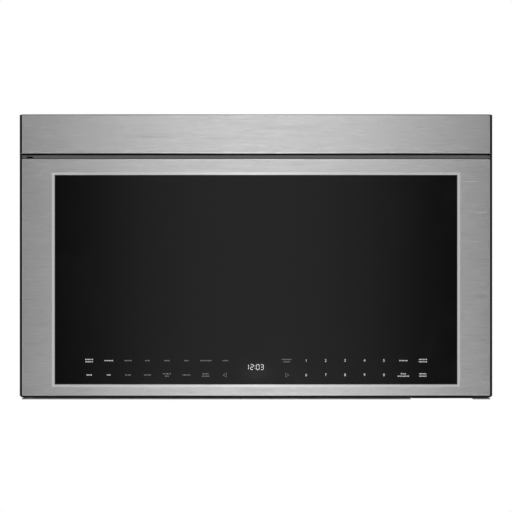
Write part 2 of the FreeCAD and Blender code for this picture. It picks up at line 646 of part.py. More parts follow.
def latch_slot(level):
    """Outline of the slot that a hook passes through and lifts in."""
    return rect(f"{LATCH_X} - latch_sheet * 1.5", f"{LATCH_X} + latch_sheet * 1.5",
                f"{level} - hook_height / 2 - hook_drop - 1.5 * piece_gap",
                f"{level} + hook_height / 2 + latch_lift + 4 * piece_gap")


def cord_grommet():
    """Rubber ring in the top panel; the mains lead goes up through it into the cabinet above."""
    spot = (CORD_X, CORD_Y)
    foot, crown = f"{INNER_TOP} - grommet_wall", f"{CASING_TOP} + grommet_wall"
    neck = rod("Z", "cord_hole_radius + grommet_wall", spot, (foot, CASING_TOP))
    collar = rod("Z", "cord_hole_radius + 2 * grommet_wall", spot, (CASING_TOP, crown))
    bore = rod("Z", "cord_hole_radius", spot, (foot, crown))
    finished("cord_grommet", cut(fuse(neck, collar), bore))


def casing_screws():
    """Hexagon heads that hold the panels together; all alike."""
    heads = []
    reach = f"{INNER_HALF} - flange_height / 2"
    above, behind = f"{CASING_TOP} + screw_height", f"{BACK_FACE} + screw_height"
    for side in (-1, 1):
        for place in ("0.12", "0.5", "0.88"):
            across = f"{side} * ({reach})"
            along = f"{FRAME_FACE} + ({BACK_FACE} - {FRAME_FACE}) * {place}"
            heads.append(hexagon("Z", "screw_radius", (across, along), (CASING_TOP, above)))
            level = f"base_sheet + flange_height / 2 + ({INNER_TOP} - flange_height) * {place}"
            heads.append(hexagon("Y", "screw_radius", (across, level), (BACK_FACE, behind)))
    finished("casing_screws", group(*heads))


# Oven

MAGNETRON_X = f"({CAVITY_RIGHT} + magnetron_offset)"
GUIDE_BOTTOM = f"({WELL_UNDERSIDE} - guide_height)"
ROOF = f"({CAVITY_TOP} + cavity_sheet)"
LAMP_PATCH_Y = f"({FRAME_BACK} + ({CAVITY_REAR} - {FRAME_BACK}) / 4)"
PATCH_HEIGHT = f"({CAVITY_TOP} - 4 * patch_pitch)"


def oven_cavity():
    """Bent wrapper with a flat rear wall, a round well for the aerial and two perforated patches."""
    body = new_body("oven_cavity")
    pad(body, "Y", (FRAME_BACK, f"{CAVITY_REAR} + cavity_sheet"), rect(
        f"{CAVITY_LEFT} - cavity_sheet", f"{CAVITY_RIGHT} + cavity_sheet",
        "cavity_floor - cavity_sheet", ROOF))
    pocket(body, "Y", (FRAME_BACK, CAVITY_REAR), rect(CAVITY_LEFT, CAVITY_RIGHT, "cavity_floor", CAVITY_TOP))
    middle, half = number(CAVITY_MID_X), number(f"({CAVITY_RIGHT} - {CAVITY_LEFT}) / 2")
    for radius, reach in (("cavity_corner", 0), ("cavity_corner + cavity_sheet", number("cavity_sheet"))):
        dress(body, "Fillet", {"Radius": radius}, lambda edge: runs(edge, "Y")
              and abs(abs(edge.CenterOfMass.x - middle) - half - reach) < SAME_PLACE)
    spot = (CAVITY_MID_X, CAVITY_MID_Y)
    pad(body, "Z", (WELL_UNDERSIDE, "cavity_floor - cavity_sheet"), (*spot, "well_radius + cavity_sheet"))
    pocket(body, "Z", (WELL_BOTTOM, "cavity_floor"), (*spot, "well_radius"))
    pocket(body, "Z", (WELL_UNDERSIDE, WELL_BOTTOM), (*spot, "coupling_radius"))
    right_wall = (CAVITY_RIGHT, f"{CAVITY_RIGHT} + cavity_sheet")
    left_wall = (f"{CAVITY_LEFT} - cavity_sheet", CAVITY_LEFT)
    for wall, along in ((right_wall, LAMP_PATCH_Y), (left_wall, CAVITY_MID_Y)):
        holes = [(f"{along} + {i} * patch_pitch", f"{PATCH_HEIGHT} + {j} * patch_pitch", "patch_hole")
                 for i in (-2, -1, 0, 1, 2) for j in (-1, 0, 1)]
        pocket(body, "X", wall, *holes)


def ceramic_floor():
    """Glass-ceramic shelf that lies on the oven floor over the well."""
    body = new_body("ceramic_floor")
    pad(body, "Z", ("cavity_floor", "cavity_floor + shelf_thickness"), rect(
        f"{CAVITY_LEFT} + shelf_margin", f"{CAVITY_RIGHT} - shelf_margin",
        f"{FRAME_BACK} + shelf_margin", f"{CAVITY_REAR} - shelf_margin"))
    dress(body, "Fillet", {"Radius": "cavity_corner"}, lambda edge: runs(edge, "Z"))


def cavity_lamp():
    """Lamp holder on the right wall of the oven, over its perforated patch."""
    holder = block((f"{CAVITY_RIGHT} + cavity_sheet", f"{CAVITY_RIGHT} + cavity_sheet + lamp_holder_depth"),
                   around(LAMP_PATCH_Y, "7 * patch_pitch"), around(PATCH_HEIGHT, "5 * patch_pitch"))
    hollow = block((CAVITY_RIGHT, f"{CAVITY_RIGHT} + lamp_holder_depth"),
                   around(LAMP_PATCH_Y, "6 * patch_pitch"), around(PATCH_HEIGHT, "4 * patch_pitch"))
    bulb = rod("X", "patch_pitch", (LAMP_PATCH_Y, PATCH_HEIGHT),
               (f"{CAVITY_RIGHT} + lamp_holder_depth / 3", f"{CAVITY_RIGHT} + lamp_holder_depth"))
    finished("cavity_lamp", fuse(cut(holder, hollow), bulb))


def waveguide():
    """Rectangular tube under the oven from the magnetron to the aerial."""
    width = around(CAVITY_MID_Y, "guide_width")
    ends = (f"{CAVITY_MID_X} - guide_width * 0.6", f"{MAGNETRON_X} + guide_width * 0.6")
    levels = (GUIDE_BOTTOM, WELL_UNDERSIDE)
    tube = block(ends, width, levels)
    inside = block(*[(f"{low} + guide_sheet", f"{high} - guide_sheet")
                     for low, high in (ends, width, levels)])
    upper_wall = (f"{WELL_UNDERSIDE} - 2 * guide_sheet", WELL_UNDERSIDE)
    mouth = rod("Z", "coupling_radius", (CAVITY_MID_X, CAVITY_MID_Y), upper_wall)
    feed = rod("Z", "coupling_radius", (MAGNETRON_X, CAVITY_MID_Y), upper_wall)
    spindle = rod("Z", "antenna_shaft * 1.6", (CAVITY_MID_X, CAVITY_MID_Y),
                  (GUIDE_BOTTOM, f"{GUIDE_BOTTOM} + 2 * guide_sheet"))
    finished("waveguide", cut(tube, inside, mouth, feed, spindle))


def antenna():
    """Turning aerial: a slotted plate on a spindle, in the well under the shelf."""
    body = new_body("antenna")
    spot = (CAVITY_MID_X, CAVITY_MID_Y)
    plate = f"{WELL_BOTTOM} + well_depth / 2"
    pad(body, "Z", (f"{GUIDE_BOTTOM} - motor_height / 2", plate), (*spot, "antenna_shaft"))
    pad(body, "Z", (plate, f"{plate} + frame_sheet"), [
        (f"{CAVITY_MID_X} - antenna_radius", f"{CAVITY_MID_Y} - antenna_radius * 0.25"),
        (f"{CAVITY_MID_X} + antenna_radius * 0.9", f"{CAVITY_MID_Y} - antenna_radius * 0.4"),
        (f"{CAVITY_MID_X} + antenna_radius * 0.9", f"{CAVITY_MID_Y} + antenna_radius * 0.4"),
        (f"{CAVITY_MID_X} - antenna_radius", f"{CAVITY_MID_Y} + antenna_radius * 0.25")])
    for side in (-1, 1):
        pocket(body, "Z", (plate, f"{plate} + frame_sheet"), rect(
            *around(f"{CAVITY_MID_X} + {side} * antenna_radius * 0.5", "antenna_radius * 0.12"),
            *around(CAVITY_MID_Y, "antenna_radius * 0.4")))
    dress(body, "Fillet", {"Radius": "antenna_shaft * 2"}, lambda edge: runs(edge, "Z")
          and abs(edge.CenterOfMass.x - number(CAVITY_MID_X)) > number("antenna_radius * 0.7"))


def antenna_motor():
    """Flat synchronous motor under the waveguide."""
    spot = (CAVITY_MID_X, CAVITY_MID_Y)
    can = rod("Z", "motor_radius", spot, (f"{GUIDE_BOTTOM} - motor_height", GUIDE_BOTTOM))
    ears = block(around(CAVITY_MID_X, "2.8 * motor_radius"), around(CAVITY_MID_Y, "motor_radius * 0.4"),
                 (f"{GUIDE_BOTTOM} - guide_sheet", GUIDE_BOTTOM))
    bore = rod("Z", "antenna_shaft + running_gap", spot,
               (f"{GUIDE_BOTTOM} - motor_height / 2 - piece_gap", GUIDE_BOTTOM))
    finished("antenna_motor", cut(fuse(can, ears), bore))


# Power supply

def magnetron():
    """Finned tube in its yoke, with the dome in the waveguide and the filter box on top."""
    foot = f"{WELL_UNDERSIDE} + plate_sheet"
    head = f"{foot} + yoke_height"
    across, along = around(MAGNETRON_X, "yoke_width"), around(CAVITY_MID_Y, "yoke_depth")
    pieces = [
        block(across, along, (WELL_UNDERSIDE, foot)),
        block(across, along, (head, f"{head} + plate_sheet")),
        rod("Z", "yoke_depth * 0.26", (MAGNETRON_X, CAVITY_MID_Y), (foot, head)),
        rod("Z", "coupling_radius * 0.5", (MAGNETRON_X, CAVITY_MID_Y),
            (f"{WELL_UNDERSIDE} - guide_height * 0.6", WELL_UNDERSIDE)),
        block(around(MAGNETRON_X, "yoke_width * 0.6"), around(CAVITY_MID_Y, "yoke_depth * 0.6"),
              (f"{head} + plate_sheet", f"{head} + plate_sheet + yoke_height * 0.4")),
    ]
    for end in (f"{MAGNETRON_X} - yoke_width / 2", f"{MAGNETRON_X} + yoke_width / 2 - plate_sheet"):
        pieces.append(block((end, f"{end} + plate_sheet"), along, (foot, head)))
    fins = int(number("yoke_fins"))
    for level in range(1, fins + 1):
        fin = f"{foot} + yoke_height * {level} / {fins + 1}"
        pieces.append(block(across, around(CAVITY_MID_Y, "yoke_depth * 0.9"), (fin, f"{fin} + cavity_sheet")))
    finished("magnetron", fuse(*pieces))


CORE_LEFT = f"({CAVITY_RIGHT} + magnetron_offset / 3)"
CORE_FRONT = f"({BACK_INSIDE} - transformer_back - core_depth)"


def transformer():
    """Laminated core with two windows on the base, and the windings round its middle leg."""
    window_low, window_high = "base_sheet + core_leg", "base_sheet + core_height - core_leg"
    leg_low, leg_high = around(f"{CORE_LEFT} + core_width / 2", "2 * core_leg")
    left, right = f"{CORE_LEFT} + core_leg", f"{CORE_LEFT} + core_width - core_leg"
    rear = f"{CORE_FRONT} + core_depth"
    stack = block((CORE_LEFT, f"{CORE_LEFT} + core_width"), (CORE_FRONT, rear),
                  ("base_sheet", "base_sheet + core_height"))
    windows = [block(span, (CORE_FRONT, rear), (window_low, window_high))
               for span in ((left, leg_low), (leg_high, right))]
    finished("transformer_core", cut(stack, *windows))
    coil = block((f"{left} + piece_gap", f"{right} - piece_gap"),
                 (f"{CORE_FRONT} - core_leg * 0.8", f"{rear} + core_leg * 0.8"),
                 (f"{window_low} + piece_gap", f"{window_high} - piece_gap"))
    leg = block((f"{leg_low} - piece_gap", f"{leg_high} + piece_gap"),
                (f"{CORE_FRONT} - piece_gap", f"{rear} + piece_gap"), (window_low, window_high))
    finished("transformer_windings", cut(coil, leg))


CAN_X = f"({INNER_HALF} - can_radius * 1.7)"
CAN_Y = f"({CAVITY_MID_Y} - can_radius * 2)"


def capacitor():
    """Oval high-voltage can on the base, and the rectifier clamped beside it."""
    top = "base_sheet + can_height"
    half = "can_radius * 1.2"
    pieces = [block(around(CAN_X, "2 * can_radius"), around(CAN_Y, f"2 * {half}"), ("base_sheet", top))]
    for side in (-1, 1):
        end = f"{CAN_Y} + {side} * {half}"
        pieces.append(rod("Z", "can_radius", (CAN_X, end), ("base_sheet", top)))
        pieces.append(block(around(CAN_X, "can_radius * 0.5"), around(end, "board_sheet"),
                            (top, f"{top} + can_radius * 0.6")))
    diode_y = f"{CAN_Y} + can_radius * 4"
    tab = block(around(CAN_X, "can_radius * 1.6"), around(diode_y, "can_radius * 0.6"),
                ("base_sheet", "base_sheet + plate_sheet"))
    pill = rod("X", "can_radius * 0.26", (diode_y, "base_sheet + plate_sheet + can_radius * 0.2"),
               around(CAN_X, "can_radius * 1.1"))
    finished("capacitor_and_diode", group(fuse(*pieces), fuse(tab, pill)))


BOARD_X = f"({INNER_HALF} - board_standoff - board_sheet)"
BOARD_FRONT = f"({FRAME_BACK} + board_back)"


def main_board():
    """Power board on standoffs from the right side, with relays, a small transformer and capacitors."""
    sheet = block((BOARD_X, f"{BOARD_X} + board_sheet"), (BOARD_FRONT, f"{BOARD_FRONT} + board_length"),
                  ("board_low", "board_low + board_height"))
    pieces = [sheet]
    post = "board_standoff * 0.8"
    for along in ("0.06", "0.94"):
        for up in ("0.08", "0.92"):
            pieces.append(block((f"{BOARD_X} + board_sheet", INNER_HALF),
                                around(f"{BOARD_FRONT} + board_length * {along}", post),
                                around(f"board_low + board_height * {up}", post)))
    relay_level, supply_level = "board_low + board_height * 0.24", "board_low + board_height * 0.66"
    for place in ("0.18", "0.38", "0.58", "0.78"):
        pieces.append(block((f"{BOARD_X} - relay_size", BOARD_X),
                            around(f"{BOARD_FRONT} + board_length * {place}", "relay_size * 1.4"),
                            around(relay_level, "relay_size")))
    pieces.append(block((f"{BOARD_X} - relay_size * 1.5", BOARD_X),
                        around(f"{BOARD_FRONT} + board_length * 0.3", "relay_size * 2"),
                        around(supply_level, "relay_size * 1.8")))
    for place in ("0.58", "0.7", "0.82"):
        pieces.append(rod("X", "relay_size * 0.35",
                          (f"{BOARD_FRONT} + board_length * {place}", supply_level),
                          (f"{BOARD_X} - relay_size * 1.2", BOARD_X)))
    finished("main_board", fuse(*pieces))


def noise_filter():
    """Mains filter on the rear panel above the cooling fan."""
    middle = "fan_height + fan_radius * 2.5"
    rear = f"{BACK_INSIDE} - board_standoff"
    face = f"{rear} - board_sheet"
    post = "board_standoff * 0.8"
    pieces = [block(around(FAN_X, "2 * fan_radius"), (face, rear), around(middle, "fan_radius"))]
    for side in (-1, 1):
        pieces.append(block(around(f"{FAN_X} + {side} * fan_radius * 0.9", post), (rear, BACK_INSIDE),
                            around(middle, post)))
        pieces.append(block(around(f"{FAN_X} + {side} * fan_radius * 0.6", "relay_size"),
                            (f"{face} - relay_size * 0.9", face), around(middle, "fan_radius * 0.6")))
    height = (f"{face} - relay_size * 0.7", face)
    choke = cut(rod("Y", "relay_size * 0.8", (FAN_X, middle), height),
                rod("Y", "relay_size * 0.4", (FAN_X, middle), height))
    finished("noise_filter", fuse(*pieces, choke))


# Cooling fan

SHROUD_FACE = f"({BACK_INSIDE} - shroud_depth)"
FAN_SPOT = (FAN_X, "fan_height")
STRUT_FACE = f"({SHROUD_FACE} - 2 * plate_sheet)"


def fan_shroud():
    """Square plate with a round mouth and duct, and the cross strut that the motor is screwed to."""
    body = new_body("fan_shroud")
    duct, mouth = (*FAN_SPOT, "fan_radius + 2 * fan_gap"), (*FAN_SPOT, "fan_radius + fan_gap")
    half = "(fan_radius + 4 * fan_gap)"
    pad(body, "Y", (SHROUD_FACE, f"{SHROUD_FACE} + plate_sheet"), rect(
        f"{FAN_X} - {half}", f"{FAN_X} + {half}", f"fan_height - {half}", f"fan_height + {half}"), mouth)
    pad(body, "Y", (f"{SHROUD_FACE} + plate_sheet", BACK_INSIDE), duct, mouth)
    pad(body, "Y", (STRUT_FACE, SHROUD_FACE), rect(
        f"{FAN_X} - {half}", f"{FAN_X} + {half}", *around("fan_height", "fan_radius * 0.4")),
        (*FAN_SPOT, "fan_shaft * 2"))


def fan_motor():
    """Shaded-pole motor: laminated loop with a coil on its lower leg."""
    size = "fan_radius * 1.1"
    span = (f"{STRUT_FACE} - motor_height * 0.7", STRUT_FACE)
    loop = block(around(FAN_X, size), span, (f"fan_height - {size}", "fan_height + fan_radius * 0.45"))
    window = block(around(FAN_X, "fan_radius * 0.5"), span,
                   (f"fan_height - {size} + fan_radius * 0.3", "fan_height - fan_radius * 0.4"))
    bore = rod("Y", "fan_shaft + running_gap", FAN_SPOT, span)
    coil_levels = (f"fan_height - {size} - fan_radius * 0.15", f"fan_height - {size} + fan_radius * 0.45")
    coil = block(around(FAN_X, "fan_radius * 0.46"), (f"{span[0]} - motor_height * 0.3", span[1]),
                 coil_levels)
    finished("fan_motor", fuse(cut(loop, window, bore), coil))


def cooling_fan():
    """Axial fan: hub on its shaft with pitched blades, drawn about the Y axis and placed at the shroud."""
    body = new_body("cooling_fan")
    body.setExpression("Placement.Base.x", bound(FAN_X))
    body.setExpression("Placement.Base.z", bound("fan_height"))
    hub_front, hub_rear = f"{SHROUD_FACE} + plate_sheet", f"{BACK_INSIDE} - 2 * plate_sheet"
    pad(body, "Y", (hub_front, hub_rear), ("0", "0", "fan_radius * 0.26"))
    pad(body, "Y", (f"{STRUT_FACE} - motor_height * 0.6", hub_front), ("0", "0", "fan_shaft"))
    middle = f"({hub_front} + {hub_rear}) / 2"
    sections = []
    for place, run in (("fan_radius * 0.2", "fan_radius * 0.16"), ("fan_radius * 0.94", "fan_radius * 0.3")):
        rise = f"{run} * fan_pitch"
        sections.append(sketch(body, "X", place, [[
            (f"{middle} - {rise}", f"0 - {run}"), (f"{middle} - {rise} + blade_sheet", f"0 - {run}"),
            (f"{middle} + {rise}", run), (f"{middle} + {rise} - blade_sheet", run)]]))
    blade = body.newObject("PartDesign::AdditiveLoft", "blade")
    blade.Profile, blade.Sections = sections[0], [sections[1]]
    blade.Ruled = True
    doc.recompute()
    ring = body.newObject("PartDesign::PolarPattern", "blades")
    ring.Originals = [blade]
    ring.Axis = (next(f for f in body.Origin.OriginFeatures if f.Role == "Y_Axis"), [""])
    ring.setExpression("Occurrences", bound("fan_blades"))
    body.Tip = ring
    doc.recompute()


# Exhaust

MOTOR_HALF = "(blower_motor_length / 2)"
SCROLL_NEAR = f"({MOTOR_HALF} + motor_gap)"
TONGUE_TURN = 75
FULL_TURN = 360


def scroll_face(wall, rise):
    """Scroll seen along the shaft: a spiral from the tongue round to the outlet, which points up."""
    base, growth = number("wheel_radius + scroll_gap"), number("scroll_growth")
    tongue = base * math.cos(math.radians(TONGUE_TURN)) - wall
    first = math.degrees(math.acos(tongue / (base + wall)))

    def on_spiral(turn):
        reach = base + wall + growth * (turn - first) / (FULL_TURN - first)
        return Vector(0, reach * math.cos(math.radians(turn)), reach * math.sin(math.radians(turn)))

    stops = [on_spiral(first + (FULL_TURN - first) * i / 6) for i in range(7)]
    edges = [Part.Arc(*stops[i:i + 3]).toShape() for i in (0, 2, 4)]
    corners = [stops[-1], Vector(0, stops[-1].y, rise), Vector(0, tongue, rise), stops[0]]
    edges += [Part.LineSegment(here, there).toShape() for here, there in zip(corners, corners[1:])]
    return Part.Face(Part.Wire(edges))


def blower_housings():
    """Two scroll housings with round inlets in both cheeks and open tops under the duct."""
    wall, width = number("scroll_wall"), number("scroll_width")
    top = number("blower_drop")
    inlet = number("wheel_radius - blade_depth")
    spot = Vector(0, number(BLOWER_Y), number(BLOWER_Z))
    near = number(SCROLL_NEAR)
    housings = []
    for start in (near, -near - width):
        outside = scroll_face(wall, top).extrude(Vector(width, 0, 0))
        inside = scroll_face(0, top + wall).extrude(Vector(width - 2 * wall, 0, 0))
        inside.translate(Vector(wall, 0, 0))
        inlets = Part.makeCylinder(inlet, width, Vector(), AXES["X"])
        housing = outside.cut(inside).cut(inlets)
        housing.translate(spot + Vector(start, 0, 0))
        housings.append(housing)
    given_shape("blower_housings", Part.makeCompound(housings))


def blower_rotor():
    """Two squirrel-cage wheels on one shaft: forward-bent blades between end rings, on a disc with a hub."""
    radius, depth, sheet = number("wheel_radius"), number("blade_depth"), number("blade_sheet")
    width, count = number("wheel_width"), int(number("wheel_blades"))
    axis, rim = AXES["X"], 2 * sheet
    inner, outer = radius - depth, radius - sheet
    bend, lean = inner + depth * 0.6, depth * 0.45
    front = [Vector(rim, inner, 0), Vector(rim, bend, lean * 0.25), Vector(rim, outer, lean)]
    back = [corner + Vector(0, 0, sheet) for corner in reversed(front)]
    outline = Part.makePolygon(front + back + front[:1])
    blade = Part.Face(outline).extrude(Vector(width - 2 * rim, 0, 0))
    blades = []
    for i in range(count):
        copy = blade.copy()
        copy.rotate(Vector(), axis, FULL_TURN * i / count)
        blades.append(copy)
    rings = [Part.makeCylinder(radius, rim, Vector(x, 0, 0), axis).cut(
        Part.makeCylinder(inner - sheet, rim, Vector(x, 0, 0), axis)) for x in (0, width - rim)]
    bore = number("shaft_radius")
    disc = Part.makeCylinder(bend, rim, Vector((width - rim) / 2, 0, 0), axis)
    hub = Part.makeCylinder(2.5 * bore, width * 0.4, Vector(width * 0.3, 0, 0), axis)
    wheel = disc.fuse(blades + rings + [hub])
    spot = Vector(0, number(BLOWER_Y), number(BLOWER_Z))
    middle = number(f"{SCROLL_NEAR} + scroll_width / 2")
    wheels = []
    for side in (-1, 1):
        copy = wheel.copy()
        copy.translate(spot + Vector(side * middle - width / 2, 0, 0))
        wheels.append(copy)
    reach = middle + width / 2
    shaft = Part.makeCylinder(bore, 2 * reach, spot - Vector(reach, 0, 0), axis)
    given_shape("blower_rotor", shaft.fuse(wheels))


BLOWER_SPOT = (BLOWER_Y, BLOWER_Z)


def blower_motor():
    """Double-ended motor on a pedestal on the oven's roof, between the two scrolls."""
    can = rod("X", "blower_motor_radius", BLOWER_SPOT, around("0", "blower_motor_length * 0.8"))
    bells = rod("X", "blower_motor_radius * 0.62", BLOWER_SPOT, around("0", "blower_motor_length"))
    foot = block(around("0", "blower_motor_length * 0.9"), around(BLOWER_Y, "blower_motor_radius * 1.4"),
                 (ROOF, f"{ROOF} + plate_sheet"))
    stem = block(around("0", "blower_motor_length * 0.5"), around(BLOWER_Y, "blower_motor_radius"),
                 (ROOF, BLOWER_Z))
    bore = rod("X", "shaft_radius + running_gap", BLOWER_SPOT, around("0", "blower_motor_length"))
    finished("blower_motor", cut(fuse(can, bells, foot, stem), bore))


FLAP_Y = f"({DUCT_REAR} - 2.5 * flap_pin_radius)"
FLAP_Z = f"({CASING_TOP} + 3 * flap_pin_radius)"


def exhaust_collar():
    """Flanged spigot on the top panel for the house duct, with a stop for the flap."""
    body = new_body("exhaust_collar")
    half = "duct_width / 2"

    def outline(margin):
        return rect(f"0 - {half} - {margin}", f"{half} + {margin}",
                    f"{DUCT_FRONT} - {margin}", f"{DUCT_REAR} + {margin}")

    pad(body, "Z", (CASING_TOP, f"{CASING_TOP} + duct_wall"), outline("duct_flange / 2"), outline("0"))
    pad(body, "Z", (f"{CASING_TOP} + duct_wall", f"{CASING_TOP} + duct_height"),
        outline("duct_wall"), outline("0"))
    stop = f"{FLAP_Z} - flap_sheet / 2 - piece_gap"
    pad(body, "Z", (f"{stop} - duct_wall", stop), rect(
        *around("0", "duct_width / 3"), f"{DUCT_FRONT} - duct_wall / 2", f"{DUCT_FRONT} + duct_flange / 2"))
    hole = (FLAP_Y, FLAP_Z, "flap_pin_radius + running_gap")
    pocket(body, "X", (f"0 - {half} - duct_wall", f"0 - {half}"), hole)
    pocket(body, "X", (half, f"{half} + duct_wall"), hole)


def damper_flap():
    """Light flap on a pin along the duct's rear wall; the air lifts it and it falls shut."""
    pin = rod("X", "flap_pin_radius", (FLAP_Y, FLAP_Z), around("0", "duct_width + 2 * duct_wall"))
    plate = block(around("0", "duct_width - 4 * duct_wall"),
                  (f"{DUCT_FRONT} + flap_sheet", f"{FLAP_Y} + flap_pin_radius"), around(FLAP_Z, "flap_sheet"))
    finished("damper_flap", fuse(pin, plate))


def charcoal_filter():
    """Cassette behind the vent outlet of the front frame, with slots through it."""
    body = new_body("charcoal_filter")
    lap = "flange_height / 3"
    span = (FRAME_BACK, f"{FRAME_BACK} + charcoal_depth")
    pad(body, "Y", span, rect(
        f"0 - {VENT_HALF} - {lap}", f"{VENT_HALF} + {lap}", f"{VENT_LOW} - {lap}", f"{VENT_HIGH} + {lap}"))
    left = f"0 - {VENT_HALF} + charcoal_pitch / 2"
    slot = pocket(body, "Y", span, rect(
        left, f"{left} + charcoal_pitch / 2", f"{VENT_LOW} + {lap}", f"{VENT_HIGH} - {lap}"))
    row_of(body, slot, "X", "charcoal_pitch", f"2 * {VENT_HALF} / charcoal_pitch")


# Underside

def grease_filter(side):
    """Aluminium cassette that hangs by two rear tabs and swings down: its frame, then its diamond mesh."""
    middle = FILTER_MIDDLES[side]
    half, low = "filter_width / 2", "base_sheet + piece_gap"
    rear, front = f"{FILTER_REAR} - filter_gap", f"{FILTER_FRONT} + filter_gap"
    body = new_body(f"{side}_filter_frame")
    pad(body, "Z", (low, f"{low} + filter_thickness"),
        rect(f"{middle} - {half}", f"{middle} + {half}", front, rear),
        rect(f"{middle} - {half} + filter_rim", f"{middle} + {half} - filter_rim",
             f"{front} + filter_rim", f"{rear} - filter_rim"))
    for place in ("-0.3", "0.3"):
        pad(body, "Z", (low, f"{low} + base_sheet"), rect(
            *around(f"{middle} + {place} * filter_width", "filter_rim * 2"),
            rear, f"{rear} + 4 * filter_gap"))
    pad(body, "Z", ("0", low), rect(
        *around(middle, "filter_rim * 3"), f"{front} + filter_gap", f"{front} + 2 * filter_gap"))
    across = number("filter_width - 2 * filter_rim")
    along = number(f"({rear}) - ({front}) - 2 * filter_rim")
    columns, rows = int(number("mesh_columns")), int(number("mesh_rows"))
    step_x, step_y = across / columns, along / rows
    corner = Vector(number(f"{middle} - {half} + filter_rim"), number(f"{front} + filter_rim"),
                    number(f"{low} + filter_thickness / 2"))
    outer = Part.makePolygon([corner + Vector(x, y, 0) for x, y in (
        (0, 0), (across, 0), (across, along), (0, along), (0, 0))])
    strand = number("mesh_sheet")
    wide, tall = step_x / 2 - strand / 2, step_y / 2 - strand / 2
    spots = [(i + 0.5, j + 0.5) for i in range(columns) for j in range(rows)]
    spots += [(i, j) for i in range(1, columns) for j in range(1, rows)]
    holes = []
    for i, j in spots:
        mid = corner + Vector(i * step_x, j * step_y, 0)
        holes.append(Part.makePolygon([mid + Vector(x, y, 0) for x, y in (
            (-wide, 0), (0, -tall), (wide, 0), (0, tall), (-wide, 0))]))
    net = Part.makeFace([outer] + holes, "Part::FaceMakerBullseye")
    given_shape(f"{side}_filter_mesh", net.extrude(Vector(0, 0, strand)))


def worktop_lamps():
    """Lamp glasses on the base over their openings, and the housings with their boards above them."""
    lenses, modules = [], []
    for middle in FILTER_MIDDLES.values():
        across = around(middle, "lamp_width")
        along = (LAMP_FRONT, f"{LAMP_FRONT} + lamp_depth")
        lenses.append(block(across, along, ("base_sheet", "base_sheet + lamp_glass")))
        room = [(f"{low} - piece_gap", f"{high} + piece_gap") for low, high in (across, along)]
        outside = [(f"{low} - lamp_ledge", f"{high} + lamp_ledge") for low, high in (across, along)]
        housing = block(*outside, ("base_sheet", "base_sheet + lamp_height"))
        under = "base_sheet + lamp_height - board_sheet"
        hollow = block(*room, ("base_sheet", under))
        lights = [block(around(f"{middle} + {place} * lamp_width", "lamp_ledge * 2"),
                        around(f"{LAMP_FRONT} + lamp_depth / 2", "lamp_ledge * 2"),
                        (f"{under} - board_sheet", under))
                  for place in ("-0.3", "0", "0.3")]
        modules.append(fuse(cut(housing, hollow), *lights))
    finished("lamp_lenses", group(*lenses))
    finished("lamp_modules", group(*modules))


# Fascia

def steel_skin(label, low, high):
    """Brushed steel pan: a flat face with its edges rolled back."""
    body = new_body(label)
    pad(body, "Y", (FRONT, f"{FRONT} + skin_return"), rect(f"0 - {SKIN_HALF}", SKIN_HALF, low, high))
    hollow_out(body, (f"{FRONT} + skin_sheet", f"{FRONT} + skin_return"), backing(low, high, "skin_sheet"),
               f"{FRONT} + skin_return", "skin_bend - skin_sheet")
    face, side = number(FRONT), number(SKIN_HALF)
    dress(body, "Fillet", {"Radius": "skin_bend"}, lambda edge: abs(edge.CenterOfMass.y - face) < SAME_PLACE
          or runs(edge, "Y") and abs(abs(edge.CenterOfMass.x) - side) < SAME_PLACE)
    return body


def backing(low, high, margin="skin_bend"):
    """Outline of the moulding inside a steel skin."""
    half = f"{SKIN_HALF} - {margin}"
    return rect(f"0 - ({half})", half, f"{low} + {margin}", f"{high} - {margin}")


def fascia():
    """Steel fascia and its black carrier, with the room's air outlet slots in the carrier's underside."""
    steel_skin("fascia_skin", FASCIA_BOTTOM, "overall_height")
    body = new_body("vent_grille")
    top = "overall_height - edge_reveal / 3"
    face = f"{FRONT} + skin_return"
    pad(body, "Y", (face, FRAME_FACE), rect(LEFT, RIGHT, FASCIA_BOTTOM, top))
    edge_height = number(top)
    dress(body, "Fillet", {"Radius": "shell_corner"}, lambda edge: runs(edge, "Y")
          and abs(edge.CenterOfMass.z - edge_height) < SAME_PLACE)
    pad(body, "Y", (f"{FRONT} + skin_sheet", face), backing(FASCIA_BOTTOM, "overall_height"))
    pocket(body, "Y", (f"{face} + shell_wall", FRAME_FACE), rect(
        f"{LEFT} + shell_wall", f"{RIGHT} - shell_wall",
        f"{FASCIA_BOTTOM} + shell_wall", f"{top} - shell_wall"))
    count = "floor((overall_width - 2 * grille_end) / grille_pitch)"
    first = f"0 - grille_pitch * {count} / 2 + shell_wall"
    slot = pocket(body, "Z", (FASCIA_BOTTOM, f"{FASCIA_BOTTOM} + shell_wall"), rect(
        first, f"{first} + grille_pitch - 2 * shell_wall",
        f"{face} + 2 * shell_wall", f"{FRAME_FACE} - 2 * shell_wall"))
    row_of(body, slot, "X", "grille_pitch", count)


# Door

def frame_outline(margin):
    """The window that shows, grown by a margin."""
    return rect(f"0 - {WINDOW_HALF} - ({margin})", f"{WINDOW_HALF} + ({margin})",
                f"{WINDOW_BOTTOM} - ({margin})", f"{WINDOW_TOP} + ({margin})")


def door_skin():
    """Brushed steel face of the door with the window cut out of it."""
    body = steel_skin("door_skin", "door_lift + edge_reveal", DOOR_TOP)
    pocket(body, "Y", (FRONT, f"{FRONT} + skin_sheet"), frame_outline("bevel_width"))


